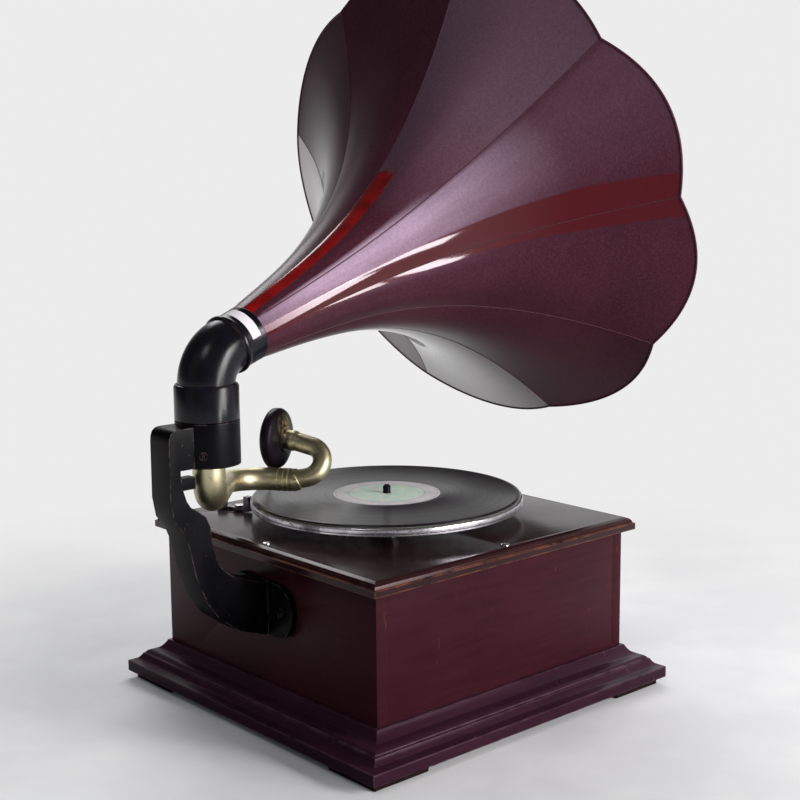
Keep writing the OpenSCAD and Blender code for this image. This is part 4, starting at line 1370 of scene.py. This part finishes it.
@dataclass
class Support:
    """The cast bracket, the socket and the elbow that carry the horn."""

    post: float = POST
    azimuth: float = HORN_AZIMUTH
    tilt: float = HORN_TILT
    out: float = NECK_OUT
    neck_height: float = NECK_HEIGHT
    bend: float = 31.0
    bend_steps: int = 36
    tube: float = 24.0
    socket: float = 27.0
    joint: float = 277.9
    top: float = 308.0
    foot_screws: tuple[float, float] = (-32, 32)

    def elbow_path(self) -> tuple[list[Vector], list[float]]:
        """Give the elbow's centre line and radii.

        Returns:
            Points and radii in metres.
        """
        turn = math.radians(90 - self.tilt)
        az, el = math.radians(self.azimuth), math.radians(self.tilt)
        neck = (self.out - self.bend * (1 - math.cos(turn))) / math.cos(el)
        start = self.neck_height - neck * math.sin(el) - self.bend * math.sin(turn)
        flat = Vector((math.sin(az), -math.cos(az), 0))
        base = Vector((0, self.post, 0))
        points = [base + Vector((0, 0, start - 10 + i)) for i in range(0, 10, 2)]
        for i in range(self.bend_steps + 1):
            a = turn * i / self.bend_steps
            points.append(base + flat * self.bend * (1 - math.cos(a)) + Vector((0, 0, start + self.bend * math.sin(a))))
        ahead = flat * math.cos(el) + Vector((0, 0, math.sin(el)))
        end = points[-1]
        bead = ((25.7, 0.0), (25.5, 0.4), (24.9, 1.6), (23.7, 2.0), (22.3, 2.0), (21.1, 1.6), (20.6, 0.4), (20.5, -0.8))
        radii = [self.tube] * (len(points) + 1)
        for step in (1.2, *(neck - back for back, _ in bead)):
            points.append(end + ahead * step)
        radii += [self.tube + extra for _, extra in bead]
        return [p * MM for p in points], [r * MM for r in radii]

    def build(self, finishes: Finishes, growth: Growth) -> None:
        """Make the elbow, its collar and the bracket.

        Args:
            finishes: the finishes.
            growth: the node trees.
        """
        enamel = finishes.get(TUBE)
        path, radii = self.elbow_path()
        dress(sweep("elbow_tube", path, radii, 96), enamel, Body.ELBOW, Slot.BLACK_TUBE, "horn_elbow")
        base = Matrix.Translation((0, self.post * MM, 0))
        low, high, r = self.joint * MM, self.top * MM, self.socket * MM
        profile = [(0.019, 0.2485), (0.022, 0.2485), (0.022, low), (r - 0.0006, low), (r, low + 0.0006),
                   (r, high - 0.0025), (r - 0.0009, high - 0.0006), (r - 0.0025, high), (0.0247, high),
                   (0.0247, 0.2905), (0.019, 0.2905)]
        collar = lathe("elbow_collar_shell", profile, base)
        dress(collar, enamel, Body.ELBOW, Slot.BLACK_TUBE, "elbow_collar")
        iron = finishes.get(IRON)
        Solid("horn_bracket", IRON, Body.CASE, Slot.BRACKET, 0.0015, 3).build(finishes)
        heads = screw_head(0.005, 0.0028, 0.0012, 0.014)
        spots = [Vector((x * MM, 0.156, 0.1078)) for x in self.foot_screws]
        made = growth.copies("bracket_screw_heads", heads, spots, Vector((-math.pi / 2, 0, 0)), iron, 2.0)
        dress(made, iron, Body.CASE, Slot.BRACKET, "bracket_screws")
        Solid("socket_set_screw", IRON, Body.CASE, Slot.BRACKET, 0.0002).build(finishes)


@dataclass
class ToneArm:
    """The brass arm, its gooseneck and the soundbox."""

    post: float = POST
    wide: float = 13.8
    slim: float = 10.5
    sleeve: Vector = field(default_factory=lambda: Vector((61, 80, 198)))
    heading: float = 215.0
    bend: float = 35.0
    drop: float = 21.0
    slope: float = 5.5
    half: float = 8.0
    ledge: float = 245.0
    leg_steps: int = 8
    drop_steps: int = 24
    run_steps: int = 30
    bend_steps: int = 32
    sleeve_ribs: tuple[float, ...] = (-5.0, 0.5, 5.0)
    goose: float = 8.8
    goose_bend: float = 16.5
    goose_foot: float = 12.0
    goose_steps: int = 14
    rise_below: float = 13.0
    rise_above: float = 15.0
    lean: float = 36.0
    box_radius: float = 28.5
    box_turn: float = 8.0
    box_depth: float = 16.0
    box_along: float = -12.0

    def __post_init__(self) -> None:
        """Work out the sleeve's frame and the arm's directions, as the solids have them."""
        h = math.radians(self.heading)
        self.ahead = Vector((math.cos(h), math.sin(h), 0))
        self.left = Vector((-math.sin(h), math.cos(h), 0))
        tilt = math.radians(self.slope)
        self.left_down = self.left * math.cos(tilt) - Vector((0, 0, math.sin(tilt)))
        pivot = Vector((-self.sleeve.x, self.post - self.sleeve.y, 0))
        self.pivot_u = pivot.dot(self.ahead)
        self.pivot_v = pivot.dot(self.left) / math.cos(tilt)
        away = (-self.half - self.pivot_u, -self.bend - self.pivot_v)
        length = math.hypot(*away)
        self.head = math.atan2(away[1], away[0]) + math.asin(self.bend / length)
        self.run = math.sqrt(length**2 - self.bend**2)
        self.below, self.above = math.radians(self.rise_below), math.radians(self.rise_above)

    def flat(self, u: float, v: float) -> Vector:
        """Give a point of the tilted arm plane in mm."""
        return self.sleeve + self.ahead * u + self.left_down * v

    def arm_line(self) -> tuple[list[Vector], list[float]]:
        """Give the arm's centre line and radii.

        Returns:
            Points and radii in metres.
        """
        way = (self.flat(math.cos(self.head), math.sin(self.head)) - self.sleeve).normalized()
        pitch = -math.asin(way.z)
        turn = math.pi / 2 - pitch
        leg = self.drop * math.tan(turn / 2)
        corner = self.flat(self.pivot_u, self.pivot_v)
        plan = Vector((way.x, way.y, 0)).normalized()
        top = corner.z + leg
        leg_points = range(self.leg_steps + 1)
        points = [Vector((0, self.post, self.ledge - i * (self.ledge - top) / self.leg_steps)) for i in leg_points]
        radii = [self.wide] * len(points)
        for i in range(1, self.drop_steps + 1):
            a = turn * i / self.drop_steps
            outward = plan * self.drop * (1 - math.cos(a))
            points.append(Vector((0, self.post, top)) + outward - Vector((0, 0, self.drop * math.sin(a))))
            radii.append(self.wide)
        for i in range(1, self.run_steps + 1):
            s = leg + (self.run - leg) * i / self.run_steps
            points.append(self.flat(self.pivot_u + s * math.cos(self.head), self.pivot_v + s * math.sin(self.head)))
            radii.append(self.wide + (self.slim - self.wide) * i / self.run_steps)
        for i in range(1, self.bend_steps + 1):
            a = math.pi / 2 + self.head * (1 - i / self.bend_steps)
            points.append(self.flat(-self.half + self.bend * math.cos(a), -self.bend + self.bend * math.sin(a)))
            radii.append(self.slim)
        rib = ((0.0, 0.0), (0.1, 0.35), (1.1, 0.35), (1.2, 0.0))
        ribs = [(x + step, extra) for x in self.sleeve_ribs for step, extra in rib]
        for x, extra in [(-7.4, 0.0), *ribs, (self.half, 0.0)]:
            points.append(self.sleeve + self.ahead * x)
            radii.append(self.slim + extra)
        return [p * MM for p in points], [r * MM for r in radii]

    def goose_point(self, x: float, w: float) -> Vector:
        """Give a point of the leaning gooseneck plane in mm."""
        lean = math.radians(self.lean)
        return self.sleeve + self.ahead * x + (self.left * math.sin(lean) + Vector((0, 0, math.cos(lean)))) * w

    def goose_line(self) -> tuple[list[Vector], list[float], tuple[float, float]]:
        """Give the gooseneck's centre line, its radii and where it meets the soundbox.

        Returns:
            Points and radii in metres, and the (along, out) place in mm.
        """
        bend, low, high = self.goose_bend, self.below, self.above
        x0 = self.half + 1.5
        p1 = (x0 + self.goose_foot * math.cos(low), self.goose_foot * math.sin(low))
        c = (p1[0] - bend * math.sin(low), p1[1] + bend * math.cos(low))
        p2 = (c[0] + bend * math.sin(high), c[1] + bend * math.cos(high))
        run = (p2[0] - self.box_along - self.box_depth / 2) / math.cos(high)
        end = (p2[0] - run * math.cos(high), p2[1] + run * math.sin(high))
        points = [self.goose_point(8.4 + i, 0) for i in (0.0, 0.4, 3.6, 4.2)]
        radii = [self.slim - 0.4, self.slim, self.slim, self.slim - 0.5]
        points += [self.goose_point(x0 + s * math.cos(low), s * math.sin(low)) for s in (4.0, 6.0, 8.0, 10.0, 11.5)]
        radii += [self.goose + 0.4, self.goose, self.goose, self.goose, self.goose]
        turn = math.pi - low - high
        for i in range(self.bend_steps + 1):
            a = -math.pi / 2 + low + turn * i / self.bend_steps
            points.append(self.goose_point(c[0] + bend * math.cos(a), c[1] + bend * math.sin(a)))
            radii.append(self.goose)
        for i in range(1, self.goose_steps + 1):
            s = (run + 0.9) * i / self.goose_steps
            points.append(self.goose_point(p2[0] - s * math.cos(high), p2[1] + s * math.sin(high)))
            radii.append(self.goose + (0.9 if 9 <= i <= 11 else 0.0))
        return [p * MM for p in points], [r * MM for r in radii], end

    def box_frame(self, out: float) -> Matrix:
        """Give the soundbox's place, with its axis along the sleeve.

        Args:
            out: distance from the sleeve's axis in mm.

        Returns:
            The matrix, with local Z along the sleeve's heading.
        """
        at = self.goose_point(self.box_along, out) * MM
        turn = Matrix((self.left, Vector((0, 0, 1)), self.ahead)).transposed().to_4x4()
        return Matrix.Translation(at) @ Matrix.Rotation(math.radians(-self.box_turn), 4, "Z") @ turn

    def build(self, finishes: Finishes) -> None:
        """Make the arm, the gooseneck and the soundbox.

        Args:
            finishes: the finishes.
        """
        brass = finishes.get(BRASS)
        path, radii = self.arm_line()
        dress(sweep("arm_tube", path, radii, 72), brass, Body.ARM, Slot.BRASS, "tone_arm")
        path, radii, end = self.goose_line()
        dress(sweep("gooseneck_tube", path, radii, 64), brass, Body.HEAD, Slot.BRASS, "gooseneck")
        frame = self.box_frame(end[1])
        d, r = self.box_depth / 2 * MM, self.box_radius * MM
        shell = [(0.0078, d), (0.0118, d), (0.0124, d - 0.0006), (0.0130, d - 0.0018), (0.0170, d - 0.0024),
                 (0.0215, d - 0.0034), (r - 0.0036, d - 0.0046), (r - 0.0012, d - 0.0060), (r, d - 0.0080),
                 (r, -d + 0.0036), (r - 0.0004, -d + 0.0030), (0.0230, -d + 0.0030), (0.0228, -d + 0.0037),
                 (0.0078, -d + 0.0037)]
        worn = finishes.get(WornBlack())
        dress(lathe("soundbox_shell", shell, frame), worn, Body.HEAD, Slot.SOUNDBOX, "soundbox_case")
        front = [(0.0200, -d + 0.0002), (0.0206, -d), (0.0246, -d), (0.0256, -d + 0.0006), (r - 0.0004, -d + 0.0024),
                 (r - 0.0004, -d + 0.0029), (0.0200, -d + 0.0029)]
        dress(lathe("soundbox_front_ring", front, frame), worn, Body.HEAD, Slot.SOUNDBOX, "soundbox_ring")
        for node, body in (("needle_bar", Body.HEAD), ("needle_screw", Body.HEAD), ("arm_flange", Body.ARM)):
            Solid(node, BRASS, body, Slot.BRASS, 0.0003).build(finishes)


@dataclass
class Turntable:
    """The platter, the felt, the record with its label, and the spindle."""

    x: float = 0.008
    rim: float = 0.127
    top: float = 0.1815
    low: float = 0.1715
    record_radius: float = 0.125
    record_depth: float = 0.002
    felt: float = 0.002
    label: float = 0.050
    hole: float = 0.00395

    def build(self, finishes: Finishes) -> None:
        """Make the platter, the record and the label.

        Args:
            finishes: the finishes.
        """
        at = Matrix.Translation((self.x, 0, 0))
        under = self.top - self.record_depth - self.felt
        edge, low, rim = self.top - 0.0025, self.low, self.rim
        platter = [(0.0041, low - 0.005), (0.0152, low - 0.005), (0.016, low - 0.0042), (0.016, under - 0.003),
                   (rim - 0.003, under - 0.003), (rim - 0.003, low + 0.0003), (rim - 0.0026, low),
                   (rim - 0.0008, low), (rim, low + 0.0009), (rim, low + 0.0022), (rim - 0.0010, low + 0.0028),
                   (rim - 0.0010, low + 0.0034), (rim, low + 0.0040), (rim, edge - 0.0010),
                   (rim - 0.0003, edge - 0.0003), (rim - 0.0008, edge), (rim - 0.0015, edge - 0.0004),
                   (rim - 0.0015, under), (0.0041, under)]
        dress(lathe("platter_body", platter, at, 192), finishes.get(RIM), Body.TURNTABLE, Slot.NICKEL, "platter")
        r, t, hole, label = self.record_radius, self.top, self.hole, self.label
        disc = [(hole, t - 0.002), (r - 0.0012, t - 0.002), (r - 0.0003, t - 0.0016), (r, t - 0.0010),
                (r - 0.0003, t - 0.0004), (r - 0.0012, t), (r - 0.0042, t), (r - 0.0044, t - 0.0001),
                (0.0565, t - 0.0001), (0.0560, t), (0.0505, t), (0.0400, t), (0.0200, t), (hole, t)]
        record = lathe("record_disc", disc, at, 256)
        ring_uv(record, Vector((self.x, 0, t)))
        dress(record, finishes.get(Shellac()), Body.TURNTABLE, Slot.RECORD, "record")
        paper = [(hole, t + 0.00001), (label - 0.0004, t + 0.00001), (label, t + 0.00004),
                 (label - 0.0003, t + 0.00012), (hole, t + 0.00012)]
        dress(lathe("label_disc", paper, at, 192), finishes.get(LabelPaper()), Body.TURNTABLE, Slot.LABEL,
              "record_label")
        Solid("spindle", BLACK, Body.TURNTABLE, Slot.NICKEL, 0.0003).build(finishes)


@dataclass
class Case:
    """The wooden case, its mouldings, feet and screws."""

    board_top: float = 0.161
    screw_at: float = 0.146
    solids: tuple[Solid, ...] = (
        Solid("front_panel", PANEL, Body.CASE, Slot.PANELS, 0.0002),
        Solid("back_panel", PANEL, Body.CASE, Slot.PANELS, 0.0002),
        Solid("left_panel", PANEL, Body.CASE, Slot.PANELS, 0.0002),
        Solid("right_panel", PANEL, Body.CASE, Slot.PANELS, 0.0002),
        Solid("top_board", BOARD, Body.CASE, Slot.BOARD, 0.0009, 3, 12.0),
        Solid("base_moulding", MOULDING, Body.CASE, Slot.MOULDING, 0.0005, 2, 40.0),
        Solid("foot_frame", FEET, Body.CASE, Slot.FEET, 0.0010),
        Solid("bottom_board", RAW, Body.CASE, Slot.PLAIN_WOOD, 0.0005),
        Solid("corner_blocks", RAW, Body.CASE, Slot.PLAIN_WOOD, 0.0005),
    )

    def build(self, finishes: Finishes, growth: Growth) -> None:
        """Finish the panels, boards, moulding and feet.

        Args:
            finishes: the finishes.
            growth: the node trees.
        """
        for solid in self.solids:
            solid.build(finishes)
        nickel = finishes.get(NICKEL)
        heads = screw_head(0.0036, 0.0013, 0.0008, 0.02)
        a = self.screw_at
        spots = [Vector((x, y, self.board_top)) for x, y in ((-a, 0), (a, 0), (0, a), (0, -a))]
        made = growth.copies("board_screw_heads", heads, spots, Vector((0, 0, 0)), nickel, 3.0)
        dress(made, nickel, Body.CASE, Slot.NICKEL, "top_board_screws")


@dataclass
class Controls:
    """The crank, the brake, and the speed knob with its dial."""

    dial_at: Vector = field(default_factory=lambda: Vector((0.112, -0.112, 0.1622)))
    ticks: int = 13
    long_tick: int = 3
    tick_inside: tuple[float, float] = (0.0135, 0.0147)
    tick_outside: float = 0.0162
    tick_radius: float = 0.00022
    sweep_angle: float = 120.0
    solids: tuple[Solid, ...] = (
        Solid("crank_arm", NICKEL, Body.CRANK, Slot.STEEL, 0.0008, 3),
        Solid("crank_shaft", STEEL, Body.CRANK, Slot.STEEL, 0.0002),
        Solid("crank_handle", GRIP, Body.HANDLE, Slot.TURNED_WOOD, 0.0012, 3),
        Solid("crank_bearing", CLEAN_BRASS, Body.CASE, Slot.BRASS, 0.0006),
        Solid("brake_lever", BRAKE, Body.BRAKE, Slot.BLACK_STEEL, 0.0005),
        Solid("brake_post", NICKEL, Body.CASE, Slot.NICKEL, 0.0004),
        Solid("speed_dial", NICKEL, Body.CASE, Slot.NICKEL, 0.0003),
        Solid("speed_knob", BLACK, Body.SPEED, Slot.BLACK_STEEL, 0.0006),
    )

    def build(self, finishes: Finishes, growth: Growth) -> None:
        """Finish the crank and the controls on the board.

        Args:
            finishes: the finishes.
            growth: the node trees.
        """
        for solid in self.solids:
            solid.build(finishes)
        black = finishes.get(BLACK)
        lines = []
        for i in range(self.ticks):
            angle = math.radians(-self.sweep_angle / 2 + self.sweep_angle * i / (self.ticks - 1))
            away = Vector((math.cos(angle), math.sin(angle), 0))
            inside = self.tick_inside[0 if i % self.long_tick == 0 else 1]
            lines.append([self.dial_at + away * inside, self.dial_at + away * self.tick_outside])
        dress(growth.wires("dial_marks", lines, self.tick_radius, black, 6), black, Body.CASE, Slot.NICKEL)


@dataclass
class Motor:
    """The spring motor and the other solids that keep their shape, carried over with new finishes."""

    brass: tuple[str, ...] = ("spindle_gears", "second_arbor", "spring_barrel", "barrel_cover", "winding_crown",
                              "governor_weights", "motor_pillars")
    steel: tuple[str, ...] = ("motor_top_plate", "motor_lower_plate", "barrel_arbor", "governor_shaft", "mainspring",
                              "needle")

    def build(self, finishes: Finishes) -> None:
        """Give the solids their finishes.

        Args:
            finishes: the finishes.
        """
        groups: list[tuple[tuple[str, ...], Finish]] = [
            (self.brass, CLEAN_BRASS), (self.steel, STEEL), (("motor_screws",), BLACK), (("felt_mat",), FELT),
            (("diaphragm",), Mica())]
        for nodes, finish in groups:
            for node in nodes:
                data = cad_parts[node].data
                data.materials.clear()
                data.materials.append(finishes.get(finish))
                log.info("solid %s: %s", node, finish.name)


@dataclass(frozen=True)
class Lamp:
    """One soft rectangular lamp."""

    name: str
    at: tuple[float, float, float]
    to: tuple[float, float, float]
    size: tuple[float, float]
    power: float
    tint: Colour = (1.0, 1.0, 1.0)
    roll: float = 0.0

    def hang(self) -> None:
        """Hang the lamp, face it to its point and roll it about its own axis."""
        data = bpy.data.lights.new(self.name, "AREA")
        data.shape = "RECTANGLE"
        data.size, data.size_y = self.size
        data.energy = self.power
        data.color = self.tint
        made = bpy.data.objects.new(self.name, data)
        way = (Vector(self.to) - Vector(self.at)).to_track_quat("-Z", "Y").to_matrix().to_4x4()
        roll = Matrix.Rotation(math.radians(self.roll), 4, "Z")
        made.matrix_world = Matrix.Translation(self.at) @ way @ roll
        bpy.context.scene.collection.objects.link(made)


LAMPS = (
    Lamp("key_lamp", (-2.2, -1.10, 0.80), (0, 0, 0.35), (0.62, 1.2), 42, (1.0, 0.98, 0.97)),
    Lamp("strip_lamp", (-1.6, -0.34, 0.48), (0, 0, 0.40), (0.24, 0.96), 16, (1.0, 0.98, 0.98), roll=-31.0),
    Lamp("top_lamp", (-0.55, 1.35, 2.0), (0, 0.2, 0.35), (0.5, 0.5), 5),
    Lamp("back_lamp", (1.5, -1.3, 2.1), (0, 0, 0.3), (2.4, 1.2), 44),
    Lamp("left_lamp", (0.2, 2.4, 1.3), (0, 0, 0.35), (1.6, 2.0), 2, (0.92, 0.95, 1.0)),
)


@dataclass
class Studio:
    """The pale floor, the soft light and the camera of the photograph."""

    eye: Vector = field(default_factory=lambda: Vector((-0.9771, 0.8570, 0.4828)))
    azimuth: float = 228.404
    pitch: float = 9.291
    roll: float = -0.489
    lens: float = 64.32
    sensor: float = 36.0
    reach: float = 30.0
    floor_tone: float = 0.90
    bounce_tone: float = 0.30
    near: tuple[float, float] = (0.28, 0.5)
    near_shade: float = 0.15
    fade: tuple[float, float] = (0.22, 0.85)
    sky_tone: float = 0.84
    sky_light: float = 0.22
    sky_tint: Colour = (0.95, 0.96, 1.0)
    mirror_low: float = 0.04
    mirror_way: tuple[float, float, float] = (0.45, -0.89, 0.0)
    mirror_fade: tuple[float, float] = (0.42, 0.85)

    def camera(self) -> None:
        """Set the camera where the photograph was taken."""
        a, e, r = math.radians(self.azimuth), math.radians(self.pitch), math.radians(self.roll)
        back = Vector((math.sin(a) * math.cos(e), -math.cos(a) * math.cos(e), math.sin(e)))
        right = (-back).cross(Vector((0, 0, 1))).normalized()
        up = right.cross(-back)
        level = right * math.cos(r) + up * math.sin(r)
        upright = up * math.cos(r) - right * math.sin(r)
        data = bpy.data.cameras.new("camera")
        data.lens, data.sensor_width = self.lens, self.sensor
        data.clip_start, data.clip_end = 0.01, 100.0
        made = bpy.data.objects.new("camera", data)
        turn = Matrix((level, upright, back)).transposed().to_4x4()
        made.matrix_world = Matrix.Translation(self.eye) @ turn
        bpy.context.scene.collection.objects.link(made)
        bpy.context.scene.camera = made

    def floor(self) -> None:
        """Lay the pale floor, darker near the object in mirrors only as painted shade, plain grey for the light it
        throws back.
        """
        s = Shader("studio_floor")
        soft = s.noise(s.coords(), scale=5.0)
        tone = self.floor_tone
        shown = s.mix(s.level(soft, 0.4, 0.62), (tone * 0.86, tone * 0.86, tone * 0.88), (tone, tone, tone * 1.01))
        away = s.length(s.coords())
        path = s.add("LightPath")
        # painted shade: near the object the floor is darkened for all but camera rays, standing in for the object's
        # shadow in mirrors
        shade = s.larger(s.level(away, *self.near, self.near_shade, 1.0), path.outputs["Is Camera Ray"])
        shaded = s.add("VectorMath", Vector=shown)
        shaded.operation = "SCALE"
        s.plug(shaded.inputs["Scale"], shade)
        seen = s.seen_rays()
        colour = s.mix(seen, (self.bounce_tone,) * 3, shaded.outputs[0])
        material = s.done(Base_Color=colour, Roughness=0.65, Specular_IOR_Level=0.2)
        far = s.level(away, *self.fade)
        glow = s.add("Emission", Color=(self.sky_tone,) * 3, Strength=1.0)
        blend = s.add("MixShader")
        s.plug(blend.inputs[0], s.times(far, seen))
        s.plug(blend.inputs[1], s.surface.outputs[0])
        s.plug(blend.inputs[2], glow.outputs[0])
        s.plug(s.out.inputs["Surface"], blend.outputs[0])
        r = self.reach
        corners = [Vector((x * r, y * r, 0)) for x, y in ((-1, -1), (1, -1), (1, 1), (-1, 1))]
        made = mesh_piece("studio_floor", corners, [[0, 1, 2, 3]])
        made.data.materials.append(material)

    @staticmethod
    def node(tree: bpy.types.NodeTree, kind: str, *links: bpy.types.NodeSocket | None) -> bpy.types.Node:
        """Add a node and link its first inputs.

        Args:
            tree: the node tree.
            kind: the node's type name, without its prefix.
            links: a socket for each input in order, or None to leave one.

        Returns:
            The new node.
        """
        made = tree.nodes.new("ShaderNode" + kind)
        for place, link in enumerate(links):
            if link is not None:
                tree.links.new(link, made.inputs[place])
        return made

    def world(self) -> None:
        """Set the white backdrop, the fill light and what the gloss mirrors."""
        world = bpy.data.worlds.new("studio")
        world.use_nodes = True
        tree = world.node_tree
        tree.nodes.clear()
        path = self.node(tree, "LightPath")
        toward = self.node(tree, "VectorMath", self.node(tree, "TexCoord").outputs["Generated"])
        toward.operation = "DOT_PRODUCT"
        toward.inputs[1].default_value = self.mirror_way
        soft = self.node(tree, "MapRange", toward.outputs["Value"])
        ends = (*self.mirror_fade, self.mirror_low, self.sky_tone)
        for place, value in zip(("From Min", "From Max", "To Min", "To Max"), ends):
            soft.inputs[place].default_value = value
        mirrored = self.node(tree, "Background", None, soft.outputs[0])
        seen, fill = self.node(tree, "Background"), self.node(tree, "Background")
        mirrored.inputs["Color"].default_value = (1, 1, 1, 1)
        seen.inputs["Color"].default_value = (self.sky_tone, self.sky_tone, self.sky_tone, 1)
        fill.inputs["Color"].default_value = (*self.sky_tint, 1)
        fill.inputs["Strength"].default_value = self.sky_light
        rays = self.node(tree, "Math", path.outputs["Is Camera Ray"], path.outputs["Is Transmission Ray"])
        unseen = self.node(tree, "MixShader", path.outputs["Is Glossy Ray"], fill.outputs[0], mirrored.outputs[0])
        mix = self.node(tree, "MixShader", rays.outputs[0], unseen.outputs[0], seen.outputs[0])
        self.node(tree, "OutputWorld", mix.outputs[0])
        bpy.context.scene.world = world

    def build(self) -> None:
        """Set the camera, floor, backdrop and lamps."""
        self.camera()
        self.floor()
        self.world()
        for lamp in LAMPS:
            lamp.hang()
        bpy.context.scene.view_settings.view_transform = "Standard"


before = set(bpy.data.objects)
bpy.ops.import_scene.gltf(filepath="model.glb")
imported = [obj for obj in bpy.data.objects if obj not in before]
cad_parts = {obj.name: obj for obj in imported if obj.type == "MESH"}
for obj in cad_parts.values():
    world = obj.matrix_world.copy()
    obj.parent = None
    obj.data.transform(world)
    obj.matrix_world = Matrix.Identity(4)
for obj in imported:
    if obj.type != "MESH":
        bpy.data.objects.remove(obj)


def main() -> None:
    """Build the machine in order, then the studio."""
    logging.basicConfig(level=logging.INFO, format="%(name)s: %(message)s")
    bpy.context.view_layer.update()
    finishes, growth = Finishes(), Growth()
    Studio().build()
    Case().build(finishes, growth)
    Support().build(finishes, growth)
    Horn().build(finishes, growth)
    ToneArm().build(finishes)
    Turntable().build(finishes)
    Controls().build(finishes, growth)
    Motor().build(finishes)


if __name__ == "__main__":
    main()
